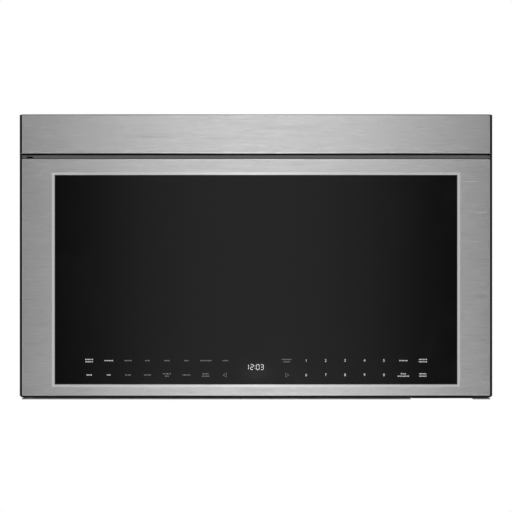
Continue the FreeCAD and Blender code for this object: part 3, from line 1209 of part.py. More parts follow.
def window_trim():
    """Bright frame that slopes from the steel down to the glass."""
    body = new_body("window_trim")
    nose = f"{FRONT} + trim_nose"
    pad(body, "Y", (f"{FRONT} + skin_sheet", f"{FRONT} + trim_depth"),
        frame_outline("bevel_width + trim_flange"), frame_outline("0"))
    pad(body, "Y", (nose, f"{FRONT} + skin_sheet"),
        frame_outline("bevel_width - piece_gap / 2"), frame_outline("0"))
    face, half, low, high = (number(text) for text in (nose, WINDOW_HALF, WINDOW_BOTTOM, WINDOW_TOP))

    def at_the_glass(edge):
        middle = edge.CenterOfMass
        aside = (abs(middle.x) - half, middle.z - low, middle.z - high)
        beside = min(abs(distance) for distance in aside) < SAME_PLACE
        return abs(middle.y - face) < SAME_PLACE and beside

    slope = dress(body, "Chamfer", {}, at_the_glass)
    slope.ChamferType = "Two distances"
    slope.setExpression("Size", bound("bevel_width - piece_gap"))
    slope.setExpression("Size2", bound("bevel_depth"))
    doc.recompute()


def door_glass():
    """Dark outer pane, held between the trim and the moulding."""
    body = new_body("door_glass")
    pad(body, "Y", (f"{FRONT} + trim_depth", GLASS_BACK), frame_outline("glass_overlap"))
    dress(body, "Fillet", {"Radius": "glass_thickness / 2"}, lambda edge: runs(edge, "Y"))


SHELL_FACE = f"({FRONT} + skin_return)"
WEB_BACK = f"({GLASS_BACK} + web_thickness)"
BOSS_RIGHT = f"({HINGE_X} + hinge_pin_radius + 3 * bush_wall)"
BOSS_BACK = f"({HINGE_Y} + hinge_pin_radius + 2 * bush_wall)"
BOSS_HEIGHT = "(hinge_pin_reach + 2 * bush_wall)"


def door_shell():
    """Black moulding: rim, glass seat and hinge bosses, with its rear left edge cut back for the swing."""
    body = new_body("door_shell")
    pad(body, "Y", (SHELL_FACE, DOOR_BACK), rect(LEFT, RIGHT, "door_lift", DOOR_TOP))
    dress(body, "Fillet", {"Radius": "shell_corner"}, lambda edge: runs(edge, "Y"))
    pocket(body, "Z", ("door_lift", DOOR_TOP), [
        (LEFT, DOOR_BACK), (LEFT, f"{DOOR_BACK} - swing_relief"), (f"{LEFT} + swing_relief", DOOR_BACK)])
    pad(body, "Y", (f"{FRONT} + skin_sheet", SHELL_FACE), backing("door_lift + edge_reveal", DOOR_TOP),
        frame_outline("bevel_width + trim_flange + piece_gap"))
    pocket(body, "Y", (SHELL_FACE, GLASS_BACK), frame_outline("glass_overlap + piece_gap"))
    pocket(body, "Y", (GLASS_BACK, WEB_BACK), frame_outline("shell_wall"))
    pocket(body, "Y", (WEB_BACK, DOOR_BACK), rect(
        f"{LEFT} + shell_wall", f"{RIGHT} - shell_wall",
        "door_lift + shell_wall", f"{DOOR_TOP} - shell_wall"))
    levels = (("door_lift", f"door_lift + {BOSS_HEIGHT}"), (f"{DOOR_TOP} - {BOSS_HEIGHT}", DOOR_TOP))
    for low, high in levels:
        pad(body, "Y", (GLASS_BACK, BOSS_BACK), rect(
            f"{LEFT} + shell_wall / 2", BOSS_RIGHT, f"{low} + shell_wall / 2", f"{high} - shell_wall / 2"))
    seat = (HINGE_X, HINGE_Y, "hinge_pin_radius + bush_wall")
    pocket(body, "Z", ("door_lift", "door_lift + hinge_pin_reach + bush_wall"), seat)
    pocket(body, "Z", (f"{DOOR_TOP} - hinge_pin_reach - bush_wall", DOOR_TOP), seat)


CHOKE_LEFT, CHOKE_RIGHT = f"({CAVITY_LEFT} - choke_width)", f"({CAVITY_RIGHT} + choke_width)"
CHOKE_LOW, CHOKE_HIGH = "(cavity_floor - choke_width)", f"({CAVITY_TOP} + choke_width)"
PAN_FACE = f"({FRONT} + choke_front)"
PAN_RIM = f"({FRONT} + choke_rear)"


def choke_outline(margin):
    """The oven mouth plus the choke, drawn in by a margin."""
    return rect(f"{CHOKE_LEFT} + ({margin})", f"{CHOKE_RIGHT} - ({margin})",
                f"{CHOKE_LOW} + ({margin})", f"{CHOKE_HIGH} - ({margin})")


def door_pan():
    """Pressed pan with the quarter-wave choke: an outer wall and a slotted inner wall round the window."""
    body = new_body("door_pan")
    sheet_back = f"{PAN_FACE} + pan_sheet"
    pad(body, "Y", (PAN_FACE, sheet_back), choke_outline("0"), choke_outline("choke_width + screen_overlap"))
    pad(body, "Y", (sheet_back, PAN_RIM), choke_outline("0"), choke_outline("pan_sheet"))
    pad(body, "Y", (sheet_back, PAN_RIM),
        choke_outline("choke_width - pan_sheet"), choke_outline("choke_width"))
    for axis, low, high, first, length in (
            ("X", CHOKE_LOW, CHOKE_HIGH, f"{CAVITY_LEFT} + choke_pitch", f"({CAVITY_RIGHT} - {CAVITY_LEFT})"),
            ("Z", CHOKE_LEFT, CHOKE_RIGHT, "cavity_floor + choke_pitch", f"({CAVITY_TOP} - cavity_floor)")):
        for wall in ((f"{low} + choke_width - pan_sheet", f"{low} + choke_width"),
                     (f"{high} - choke_width", f"{high} - choke_width + pan_sheet")):
            slot_span = (first, f"{first} + choke_slot")
            loop = rect(*slot_span, *wall) if axis == "X" else rect(*wall, *slot_span)
            slot = pocket(body, "Y", (f"{sheet_back} + pan_sheet", PAN_RIM), loop)
            row_of(body, slot, axis, "choke_pitch", f"{length} / choke_pitch - 1")


def choke_cover():
    """Thin black ring over the choke; it keeps crumbs out."""
    body = new_body("choke_cover")
    pad(body, "Y", (PAN_RIM, f"{PAN_RIM} + choke_cover_thickness"),
        choke_outline("0"), choke_outline("choke_width"))


def inner_screen():
    """Perforated sheet in front of the pan's window: one holed face."""
    columns, rows = int(number("screen_columns")), int(number("screen_rows"))
    low_x, high_x, low_z, high_z = (number(text) for text in (
        f"{CAVITY_LEFT} + screen_overlap", f"{CAVITY_RIGHT} - screen_overlap",
        "cavity_floor + screen_overlap", f"{CAVITY_TOP} - screen_overlap"))
    back, lap = number(PAN_FACE), number("screen_overlap")

    def ring(x0, x1, z0, z1):
        corners = ((x0, z0), (x1, z0), (x1, z1), (x0, z1), (x0, z0))
        return Part.makePolygon([Vector(x, back, z) for x, z in corners])

    step_x, step_z = (high_x - low_x) / columns, (high_z - low_z) / rows
    half_x, half_z = (number("screen_open") * step / 2 for step in (step_x, step_z))
    wires = [ring(low_x - lap * 0.8, high_x + lap * 0.8, low_z - lap * 0.8, high_z + lap * 0.8)]
    for i in range(columns):
        for j in range(rows):
            x, z = low_x + (i + 0.5) * step_x, low_z + (j + 0.5) * step_z
            wires.append(ring(x - half_x, x + half_x, z - half_z, z + half_z))
    face = Part.makeFace(wires, "Part::FaceMakerBullseye")
    given_shape("inner_screen", face.extrude(Vector(0, -number("screen_sheet"), 0)))


def inner_pane():
    """Clear pane on the oven side of the pan."""
    body = new_body("inner_pane")
    face = f"{PAN_FACE} + pan_sheet"
    pad(body, "Y", (face, f"{face} + pane_thickness"), choke_outline("choke_width + piece_gap"))


BAR_LOW = f"({LATCH_LOW} - 2.5 * hook_height)"
BAR_HIGH = f"({LATCH_HIGH} + 2.5 * hook_height)"
SPRING_TOP = f"({BAR_HIGH} + spring_height + piece_gap)"
BAR_BACK = f"({DOOR_BACK} - cover_thickness - piece_gap)"
HOOK_END = f"({FRAME_BACK} + hook_reach)"


def door_inner_cover():
    """Back cover of the door round the pan, with the hook slots, latch guides and the spring's seat."""
    body = new_body("door_inner_cover")
    face = f"{DOOR_BACK} - cover_thickness"
    pad(body, "Y", (face, DOOR_BACK),
        rect(f"{LEFT} + swing_relief + shell_wall", f"{RIGHT} - shell_wall - piece_gap",
             "door_lift + shell_wall + piece_gap", f"{DOOR_TOP} - shell_wall - piece_gap"),
        choke_outline("0 - piece_gap"))
    for level in (LATCH_LOW, LATCH_HIGH):
        pocket(body, "Y", (face, DOOR_BACK), latch_slot(level))
    for side in (-1, 1):
        rail = f"{LATCH_X} + {side} * (latch_sheet / 2 + piece_gap + shell_wall / 2)"
        pad(body, "Y", (f"{face} - latch_depth / 2", face), rect(
            *around(rail, "shell_wall"), *around(f"{LATCH_LOW} + latch_spacing / 2", "latch_spacing / 2")))
    pad(body, "Y", (f"{face} - latch_depth", face), rect(
        *around(LATCH_X, "latch_sheet * 3"), SPRING_TOP, f"{SPRING_TOP} + shell_wall"))


def latch_bar():
    """Sliding bar in the door with two hooks that drop behind the interlock's ledges."""
    across = around(LATCH_X, "latch_sheet")
    pieces = [block(across, (f"{BAR_BACK} - latch_depth", BAR_BACK), (BAR_LOW, BAR_HIGH))]
    for level in (LATCH_LOW, LATCH_HIGH):
        arm = (f"{level} - hook_height / 2", f"{level} + hook_height / 2")
        pieces.append(block(across, (BAR_BACK, HOOK_END), arm))
        pieces.append(block(across, (f"{HOOK_END} - hook_nose", HOOK_END), (f"{arm[0]} - hook_drop", arm[0])))
    finished("latch_bar", fuse(*pieces))


def latch_spring():
    """Moulded zigzag spring between the bar and its seat on the cover."""
    body = new_body("latch_spring")
    folds = int(number("spring_folds"))
    step = f"(spring_height - spring_strip) / {folds}"
    middle = f"{BAR_BACK} - latch_depth / 2"
    lower = []
    for i in range(folds + 1):
        side = (-1) ** i
        lower.append((f"{middle} + {side} * spring_reach", f"{BAR_HIGH} + {i} * {step}"))
    upper = [(across, f"{up} + spring_strip") for across, up in reversed(lower)]
    pad(body, "X", around(LATCH_X, "latch_sheet"), lower + upper)


KEY_LOW = f"({WINDOW_BOTTOM} + key_board_sill)"
KEY_MIDDLE = f"({KEY_LOW} + key_board_height / 2)"
KEY_BOARD_WIDTH = f"(2 * ({WINDOW_HALF} - key_board_margin))"


def control_board():
    """Touch key board behind the lower edge of the glass, notched for the clock display."""
    span = (GLASS_BACK, f"{GLASS_BACK} + board_sheet")
    sheet = block(around("0", KEY_BOARD_WIDTH), span, (KEY_LOW, f"{KEY_LOW} + key_board_height"))
    notch = block(around("0", "display_width + 2 * piece_gap"), span,
                  around(KEY_MIDDLE, "display_height + 2 * piece_gap"))
    behind = (span[1], f"{span[1]} + plate_sheet")
    chips = [block(around(f"{place} * {KEY_BOARD_WIDTH}", "relay_size"), behind,
                   around(KEY_MIDDLE, "relay_size * 0.8")) for place in ("-0.32", "-0.16", "0.16", "0.32")]
    finished("control_board", fuse(cut(sheet, notch), *chips))
    depth = (GLASS_BACK, f"{GLASS_BACK} + display_depth")
    finished("display_module", block(around("0", "display_width"), depth,
                                     around(KEY_MIDDLE, "display_height")))


# Hinge

HINGE_SPOT = (HINGE_X, HINGE_Y)
STRAP_LOW = f"({DOOR_TOP} + 3 * piece_gap)"
STRAP_HIGH = f"({STRAP_LOW} + strap_thickness)"


def hinge():
    """Upper strap on the front frame, a pin in it, a pin on the base lip, and the door's two bushes."""
    strap = block(around(HINGE_X, "strap_width"), (f"{FRONT} + lip_setback * 2", FRAME_FACE),
                  (STRAP_LOW, STRAP_HIGH))
    flange = block((f"{HINGE_X} - strap_width / 2", f"{HINGE_X} + 2 * strap_width"),
                   (f"{FRAME_FACE} - base_sheet", FRAME_FACE),
                   (STRAP_LOW, f"{FASCIA_BOTTOM} - 2 * piece_gap"))
    eye = rod("Z", "hinge_pin_radius + running_gap", HINGE_SPOT, (STRAP_LOW, STRAP_HIGH))
    finished("upper_hinge", cut(fuse(strap, flange), eye))
    head = "hinge_pin_radius + bush_wall / 2"
    upper = fuse(rod("Z", "hinge_pin_radius", HINGE_SPOT, (f"{DOOR_TOP} - hinge_pin_reach", STRAP_HIGH)),
                 rod("Z", head, HINGE_SPOT, (STRAP_HIGH, f"{STRAP_HIGH} + strap_thickness / 2")))
    lower = fuse(rod("Z", "hinge_pin_radius", HINGE_SPOT, ("base_sheet", "door_lift + hinge_pin_reach")),
                 rod("Z", head, HINGE_SPOT, ("base_sheet", "door_lift - piece_gap")))
    finished("hinge_pins", group(upper, lower))
    spans = (("door_lift", "door_lift + bush_length"), (f"{DOOR_TOP} - bush_length", DOOR_TOP))
    bushes = [cut(rod("Z", "hinge_pin_radius + bush_wall", HINGE_SPOT, span),
                  rod("Z", "hinge_pin_radius + running_gap", HINGE_SPOT, span)) for span in spans]
    finished("hinge_bushes", group(*bushes))


# Interlock and electric release

BRACKET_X = f"({LATCH_X} + 2 * latch_sheet)"
RELEASE_Y = f"({HOOK_END} - hook_nose + piece_gap + release_reach)"
RELEASE_Z = f"({LATCH_LOW} - hook_height / 2 - hook_drop - 4 * piece_gap / 3 - finger_height)"
LEVER_SPAN = (f"({LATCH_X} - 2 * latch_sheet)", f"({LATCH_X} - latch_sheet * 0.75)")
PLUNGER_Y = f"({RELEASE_Y} - release_reach / 2)"
PLUNGER_X = f"(({LEVER_SPAN[0]} + {LEVER_SPAN[1]}) / 2)"
ARM_LOW = f"({RELEASE_Z} - lever_arm / 2)"
SOLENOID_TOP = f"({ARM_LOW} - lever_arm * 1.5)"


def interlock_bracket():
    """Moulded bracket behind the front frame with a ledge for each hook and the lever's pivot."""
    levels = (f"{SOLENOID_TOP} - solenoid_height", f"{LATCH_HIGH} + 3 * hook_height")
    plate = block((BRACKET_X, f"{BRACKET_X} + shell_wall"),
                  (FRAME_BACK, f"{RELEASE_Y} + 2 * hook_height"), levels)
    flange = block((BRACKET_X, f"{INNER_HALF} - frame_sheet - piece_gap"),
                   (FRAME_BACK, f"{FRAME_BACK} + plate_sheet"), levels)
    pieces = [plate, flange]
    for level in (LATCH_LOW, LATCH_HIGH):
        top = f"{level} - hook_height / 2 - 2 * piece_gap"
        pieces.append(block((f"{LATCH_X} - 2 * latch_sheet", BRACKET_X),
                            (f"{FRAME_BACK} + plate_sheet", f"{HOOK_END} - hook_nose - 2 * piece_gap"),
                            (f"{top} - hook_height", top)))
    pieces.append(rod("X", "pivot_radius", (RELEASE_Y, RELEASE_Z),
                      (f"{LEVER_SPAN[0]} - piece_gap", BRACKET_X)))
    finished("interlock_bracket", fuse(*pieces))


def interlock_switches():
    """Three snap switches on the bracket; the hooks press the outer two."""
    switches = []
    between = f"{LATCH_LOW} + latch_spacing / 2"
    for level, plunger in ((LATCH_LOW, True), (LATCH_HIGH, True), (between, False)):
        front = f"{HOOK_END} + switch_gap"
        body = block((f"{LATCH_X} - latch_sheet / 2", BRACKET_X), (front, f"{front} + switch_depth"),
                     around(level, "switch_height"))
        if plunger:
            body = fuse(body, rod("Y", "latch_sheet * 0.3", (LATCH_X, level),
                                  (f"{HOOK_END} + 1.5 * piece_gap", front)))
        switches.append(body)
    finished("interlock_switches", group(*switches))


def release_lever():
    """Lever on the bracket: its finger lifts the lower hook off its ledge when the solenoid pushes."""
    hub = rod("X", "pivot_radius * 2", (RELEASE_Y, RELEASE_Z), LEVER_SPAN)
    finger_front = f"{RELEASE_Y} - release_reach"
    arm = block(LEVER_SPAN, (finger_front, RELEASE_Y), (ARM_LOW, f"{RELEASE_Z} + lever_arm / 2"))
    finger = block((LEVER_SPAN[0], f"{LATCH_X} + latch_sheet / 2"),
                   (finger_front, f"{finger_front} + hook_nose / 2"),
                   (RELEASE_Z, f"{RELEASE_Z} + finger_height"))
    bore = rod("X", "pivot_radius + running_gap", (RELEASE_Y, RELEASE_Z), LEVER_SPAN)
    finished("release_lever", cut(fuse(hub, arm, finger), bore))


def release_solenoid():
    """Push solenoid under the lever, screwed to the bracket, and its plunger."""
    spot = (PLUNGER_X, PLUNGER_Y)
    bottom = f"{SOLENOID_TOP} - solenoid_height"
    can = block((f"{PLUNGER_X} - solenoid_width / 2", BRACKET_X), around(PLUNGER_Y, "solenoid_width"),
                (bottom, SOLENOID_TOP))
    bore = rod("Z", "plunger_radius + running_gap", spot, (f"{bottom} + shell_wall", SOLENOID_TOP))
    finished("release_solenoid", cut(can, bore))
    crown = f"{SOLENOID_TOP} + piece_gap"
    slug = rod("Z", "plunger_radius", spot, (f"{bottom} + shell_wall + piece_gap", crown))
    tip = rod("Z", "plunger_radius * 0.35", spot, (crown, f"{ARM_LOW} - 4 * piece_gap / 3"))
    finished("solenoid_plunger", fuse(slug, tip))


# Assembly

base_plate()
side_panel("left_side_panel", -1)
side_panel("right_side_panel", 1)
top_panel()
rear_panel()
rear_exhaust_cover()
wall_plate()
front_frame()
cord_grommet()
casing_screws()
oven_cavity()
ceramic_floor()
cavity_lamp()
waveguide()
antenna()
antenna_motor()
magnetron()
transformer()
capacitor()
main_board()
noise_filter()
fan_shroud()
fan_motor()
cooling_fan()
blower_housings()
blower_rotor()
blower_motor()
exhaust_collar()
damper_flap()
charcoal_filter()
for side in FILTER_MIDDLES:
    grease_filter(side)
worktop_lamps()
fascia()
door_skin()
window_trim()
door_glass()
door_shell()
door_pan()
choke_cover()
inner_screen()
inner_pane()
door_inner_cover()
latch_bar()
latch_spring()
control_board()
hinge()
interlock_bracket()
interlock_switches()
release_lever()
release_solenoid()

doc.recompute()
for thing in doc.Objects:
    if "Invalid" in thing.State or "Error" in thing.State:
        raise ValueError(f"{thing.Label} failed: {thing.State}")
for piece in sub_parts:
    if piece.Shape.isNull() or not piece.Shape.isValid():
        raise ValueError(f"{piece.Label} has no valid shape")

os.makedirs("parts", exist_ok=True)
for piece in sub_parts:
    piece.Shape.exportStep(f"parts/{piece.Label}.step")
print(len(sub_parts), "sub-parts written")
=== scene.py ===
import json
import math

import bpy
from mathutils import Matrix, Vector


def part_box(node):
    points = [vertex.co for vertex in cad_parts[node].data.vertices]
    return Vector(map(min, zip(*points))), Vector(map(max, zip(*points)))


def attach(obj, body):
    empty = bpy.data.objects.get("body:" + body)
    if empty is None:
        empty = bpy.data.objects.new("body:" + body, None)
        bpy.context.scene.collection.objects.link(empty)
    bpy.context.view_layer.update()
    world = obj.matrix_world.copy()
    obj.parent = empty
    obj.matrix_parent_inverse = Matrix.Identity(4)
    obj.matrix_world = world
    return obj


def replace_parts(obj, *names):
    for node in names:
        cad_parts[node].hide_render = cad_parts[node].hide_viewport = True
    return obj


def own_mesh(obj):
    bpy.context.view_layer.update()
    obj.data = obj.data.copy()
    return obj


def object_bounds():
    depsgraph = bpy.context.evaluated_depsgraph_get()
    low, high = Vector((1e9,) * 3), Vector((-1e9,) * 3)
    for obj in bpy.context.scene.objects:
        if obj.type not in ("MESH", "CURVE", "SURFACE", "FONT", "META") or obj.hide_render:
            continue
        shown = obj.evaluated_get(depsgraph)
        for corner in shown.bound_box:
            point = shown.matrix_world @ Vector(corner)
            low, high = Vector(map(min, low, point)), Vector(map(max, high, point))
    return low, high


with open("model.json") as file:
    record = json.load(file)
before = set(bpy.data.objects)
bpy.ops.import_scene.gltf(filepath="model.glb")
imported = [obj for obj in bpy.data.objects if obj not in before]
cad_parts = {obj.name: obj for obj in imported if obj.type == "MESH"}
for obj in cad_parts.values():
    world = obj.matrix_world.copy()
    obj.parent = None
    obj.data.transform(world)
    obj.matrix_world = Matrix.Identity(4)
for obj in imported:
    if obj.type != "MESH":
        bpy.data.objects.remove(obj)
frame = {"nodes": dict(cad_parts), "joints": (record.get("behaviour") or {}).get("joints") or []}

cad_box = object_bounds()


# Viewpoint: the oven hangs level with the eye and is seen square on from two and a half metres, so that the
# picture takes in 822 mm at the plane of the oven's front.
PICTURE_WIDTH, EYE_HEIGHT, EYE_DISTANCE = 0.8222, 0.2305, 2.45
FRONT_PLANE = cad_box[0][1]
UPRIGHT = (math.pi / 2, 0, 0)

bpy.ops.object.select_all(action="DESELECT")
bpy.ops.object.camera_add(location=(0, FRONT_PLANE - EYE_DISTANCE, EYE_HEIGHT), rotation=UPRIGHT)
camera = bpy.context.object
camera.data.lens = camera.data.sensor_width * EYE_DISTANCE / PICTURE_WIDTH
bpy.context.scene.camera = camera
bpy.context.scene.view_settings.view_transform = "Standard"


# Casing: folded sheet steel panels, powder-coated in charcoal with a fine orange peel, screwed together
# round the base. The front frame is the same sheet, folded back round the oven's mouth.
class Tone:
    """A value or colour on a surface; arithmetic on it adds Math nodes to its finish."""

    def __init__(self, tree, socket):
        self.tree = tree
        self.socket = socket

    def node(self, kind, settings, sockets, output=0):
        """Adds one node: its settings first, then the values or links of its sockets."""
        made = self.tree.nodes.new("ShaderNode" + kind)
        for name, value in settings.items():
            setattr(made, name, value)
        for name, value in sockets.items():
            if isinstance(value, Tone):
                self.tree.links.new(value.socket, made.inputs[name])
            else:
                made.inputs[name].default_value = value
        return Tone(self.tree, made.outputs[output] if made.outputs else None)

    def maths(self, operation, first, second=0):
        return self.node("Math", {"operation": operation}, {0: first, 1: second})

    def __add__(self, other):
        return self.maths("ADD", self, other)

    def __radd__(self, other):
        return self.maths("ADD", other, self)

    def __sub__(self, other):
        return self.maths("SUBTRACT", self, other)

    def __rsub__(self, other):
        return self.maths("SUBTRACT", other, self)

    def __mul__(self, other):
        return self.maths("MULTIPLY", self, other)

    def __rmul__(self, other):
        return self.maths("MULTIPLY", other, self)

    def __truediv__(self, other):
        return self.maths("DIVIDE", self, other)

    def __pow__(self, other):
        return self.maths("POWER", self, other)

    def __lt__(self, other):
        return self.maths("LESS_THAN", self, other)

    def __abs__(self):
        return self.maths("ABSOLUTE", self)


def new_finish(name):
    """An empty finish; what it gives back is the place on the piece, in metres."""
    material = bpy.data.materials.new(name)
    material.use_nodes = True
    material.node_tree.nodes.clear()
    return Tone(material.node_tree, None).node("TexCoord", {}, {}, "Object")


def grain(place, scale, detail, roughness=0.5):
    """Soft irregular grain, from about 0.3 to 0.7."""
    return place.node("TexNoise", {}, {"Vector": place, "Scale": scale, "Detail": detail,
                                       "Roughness": roughness})


def between(value, low, high):
    """0 below low, 1 above high, smooth between them."""
    return value.node("MapRange", {"interpolation_type": "SMOOTHSTEP"},
                      {"Value": value, "From Min": low, "From Max": high})


def mixed(amount, first, second):
    """One colour going over into another."""
    return amount.node("Mix", {"data_type": "RGBA"}, {0: amount, 6: first, 7: second}, 2)


def raised(place, height, depth, strength):
    """A normal from a height; depth is the height's full range in metres."""
    return place.node("Bump", {}, {"Height": height, "Distance": depth, "Strength": strength})


def closed(place, shader):
    """Ends a finish with its shader and gives back the material."""
    place.node("OutputMaterial", {}, {"Surface": shader})
    return next(made for made in bpy.data.materials if made.node_tree == place.tree)


def coat_of(place, **sockets):
    """Closes a finish with the usual surface shader, its sockets named with underscores."""
    named = {key.replace("_", " "): value for key, value in sockets.items()}
    return closed(place, place.node("BsdfPrincipled", {}, named))


def dress(material, *names):
    """Puts a finish on CAD nodes."""
    for name in names:
        slots = frame["nodes"][name].data.materials
        slots.clear()
        slots.append(material)


place = new_finish("charcoal_powder_coat")
peel = grain(place, 900, 1)
patches = grain(place, 14, 3)
charcoal = coat_of(
    place,
    Base_Color=mixed(between(patches, 0.3, 0.7), (0.049, 0.05, 0.052, 1), (0.056, 0.057, 0.06, 1)),
    Roughness=0.38 + 0.16 * grain(place, 60, 2),
    Normal=raised(place, peel, 0.0004, 0.35))
dress(charcoal, "left_side_panel", "right_side_panel", "top_panel", "front_frame")


# Rear panel, exhaust cover, wall plate and ducting: bare galvanised sheet with the crystal spangle of the
# zinc bath. The wall plate is screwed to the studs and the oven hooks over it.
place = new_finish("galvanised_sheet")
crystals = place.node("TexVoronoi", {}, {"Vector": place, "Scale": 190, "Randomness": 1}, "Color")
crystal = place.node("SeparateColor", {}, {"Color": crystals})
feathers = grain(place, 420, 4, 0.6)
dull = grain(place, 9, 3)
galvanised = coat_of(
    place,
    Base_Color=mixed(0.65 * crystal + 0.35 * feathers, (0.48, 0.493, 0.51, 1), (0.64, 0.653, 0.668, 1)),
    Metallic=1,
    Roughness=0.3 + 0.16 * crystal + 0.2 * between(dull, 0.4, 0.75),
    Normal=raised(place, crystal + 0.3 * feathers, 0.0002, 0.25))
dress(galvanised, "rear_panel", "rear_exhaust_cover", "wall_plate", "waveguide", "exhaust_collar",
      "damper_flap", "blower_rotor", "door_pan")


# Casing screws: round heads on a washer flange with a sunk drive, pressed from zinc-plated wire. Six go down
# through the top panel's edges and six through the rear panel's.
place = new_finish("zinc_plating")
turned = grain(place, 2600, 2)
stain = grain(place, 45, 3)
zinc = coat_of(
    place,
    Base_Color=mixed(between(stain, 0.35, 0.7), (0.52, 0.53, 0.54, 1), (0.7, 0.69, 0.66, 1)),
    Metallic=1,
    Roughness=0.24 + 0.2 * turned + 0.1 * stain,
    Normal=raised(place, turned, 0.0001, 0.2))


def start(adder, **settings):
    """Adds a primitive with nothing else selected, and opens it with all of it selected."""
    bpy.ops.object.select_all(action="DESELECT")
    adder(**settings)
    bpy.ops.object.mode_set(mode="EDIT")
    bpy.ops.mesh.select_all(action="SELECT")
    return bpy.context.object


def pick(test, kind="FACE"):
    """Selects what passes a test on the open piece: a face or corner by its place and normal, or an edge by
    its two ends."""
    bpy.ops.mesh.select_mode(type=kind)
    bpy.ops.object.mode_set(mode="OBJECT")
    mesh = bpy.context.object.data
    for group in (mesh.vertices, mesh.edges, mesh.polygons):
        group.foreach_set("select", [False] * len(group))
    if kind == "FACE":
        for face in mesh.polygons:
            face.select = bool(test(face.center, face.normal))
    elif kind == "EDGE":
        for edge in mesh.edges:
            edge.select = bool(test(*(mesh.vertices[index].co for index in edge.vertices)))
    else:
        for corner in mesh.vertices:
            corner.select = bool(test(corner.co, corner.normal))
    bpy.ops.object.mode_set(mode="EDIT")


def pulled(x, y, z):
    """Extrudes what is selected by a step."""
    bpy.ops.mesh.extrude_region_move(TRANSFORM_OT_translate={"value": (x, y, z)})


def close(piece, name, angle=None):
    """Leaves edit mode, puts the place into the mesh and names the piece."""
    bpy.ops.object.mode_set(mode="OBJECT")
    bpy.ops.object.select_all(action="DESELECT")
    piece.select_set(True)
    bpy.context.view_layer.objects.active = piece
    bpy.ops.object.transform_apply(location=True, rotation=True, scale=True)
    if angle is not None:
        bpy.ops.object.shade_smooth_by_angle(angle=math.radians(angle))
    piece.name = piece.data.name = name
    return piece


def copied(piece, location, rotation=(0, 0, 0), scale=(1, 1, 1)):
    """A copy of a piece with its own mesh."""
    made = piece.copy()
    made.data = piece.data.copy()
    made.location, made.rotation_euler, made.scale = location, rotation, scale
    bpy.context.scene.collection.objects.link(made)
    return made


def joined(pieces, name, material, body):
    """Joins copies into one piece at the origin, and fixes it to its body."""
    bpy.ops.object.select_all(action="DESELECT")
    for piece in pieces:
        piece.select_set(True)
    bpy.context.view_layer.objects.active = pieces[0]
    bpy.ops.object.transform_apply(location=True, rotation=True, scale=True)
    if len(pieces) > 1:
        bpy.ops.object.join()
    whole = bpy.context.object
    whole.name = whole.data.name = name
    whole.data.materials.clear()
    whole.data.materials.append(material)
    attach(whole, body)
    return whole


FLANGE_RADIUS, FLANGE_HEIGHT, FLANGE_RIM = 0.004, 0.0006, 0.0006
HEAD_RADIUS, HEAD_TOP, HEAD_ROUND = FLANGE_RADIUS - FLANGE_RIM, 0.002, 0.0003
DRIVE_RIM, DRIVE_SLOPE, DRIVE_DEPTH = 0.0005, 0.0012, 0.0011
NEAR = 0.0001
screw = start(bpy.ops.mesh.primitive_cylinder_add, vertices=24, radius=FLANGE_RADIUS, depth=FLANGE_HEIGHT,
              location=(0, 0, FLANGE_HEIGHT / 2))
pick(lambda middle, normal: normal.z > 0.9)
bpy.ops.mesh.inset(thickness=FLANGE_RIM)
pulled(0, 0, HEAD_TOP - FLANGE_HEIGHT)
bpy.ops.mesh.inset(thickness=DRIVE_RIM)
bpy.ops.mesh.inset(thickness=DRIVE_SLOPE)
pulled(0, 0, -DRIVE_DEPTH)
pick(lambda first, second: min(first.z, second.z) > HEAD_TOP - NEAR
     and min(first.xy.length, second.xy.length) > HEAD_RADIUS - HEAD_ROUND, "EDGE")
bpy.ops.mesh.bevel(offset=HEAD_ROUND, segments=2)
close(screw, "casing_screw", 35)

SCREW_ASIDE = 0.3695
TOP_ROW, REAR_ROW = (-0.09466, 0.01725, 0.12916), (0.06142, 0.229, 0.39658)
TOP_FACE, REAR_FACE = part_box("top_panel")[1].z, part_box("rear_panel")[1].y
screws = []
for across in (-SCREW_ASIDE, SCREW_ASIDE):
    screws += [copied(screw, (across, along, TOP_FACE)) for along in TOP_ROW]
    screws += [copied(screw, (across, REAR_FACE, level), (-math.pi / 2, 0, 0)) for level in REAR_ROW]
bpy.data.objects.remove(screw)
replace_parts(joined(screws, "casing_screw_heads", zinc, "cabinet"), "casing_screws")


# Cord grommet: a soft black rubber ring with a groove, pressed into the top panel's hole so that a lead
# doesn't chafe. Its moulded skin is dull, with a slight bloom.
place = new_finish("black_rubber")
bloom = grain(place, 260, 3)
rubber = coat_of(
    place,
    Base_Color=mixed(bloom, (0.012, 0.012, 0.012, 1), (0.03, 0.03, 0.029, 1)),
    Roughness=0.62 + 0.25 * bloom,
    Normal=raised(place, grain(place, 1500, 2), 0.0002, 0.3))
dress(rubber, "cord_grommet")


# Oven: a bent steel wrapper with a hard pale-grey enamel, speckled darker, and a glass-ceramic shelf
# that lies on its floor.
place = new_finish("oven_enamel")
flecks = between(grain(place, 1100, 2), 0.6, 0.68)
haze = grain(place, 7, 3)
enamel = coat_of(
    place,
    Base_Color=mixed(flecks, (0.5, 0.505, 0.5, 1), (0.2, 0.205, 0.21, 1)),
    Roughness=0.24 + 0.14 * haze,
    Normal=raised(place, grain(place, 320, 2), 0.0003, 0.25))
dress(enamel, "oven_cavity")

place = new_finish("glass_ceramic")
cloud = grain(place, 30, 4)
specks = between(grain(place, 1800, 1), 0.62, 0.7)
ceramic = coat_of(
    place,
    Base_Color=mixed(0.5 * specks + 0.3 * cloud, (0.8, 0.79, 0.75, 1), (0.55, 0.53, 0.48, 1)),
    Roughness=0.1 + 0.14 * cloud,
    Coat_Weight=0.3 + 0.2 * cloud,
    Normal=raised(place, grain(place, 160, 2), 0.0002, 0.12))
dress(ceramic, "ceramic_floor")


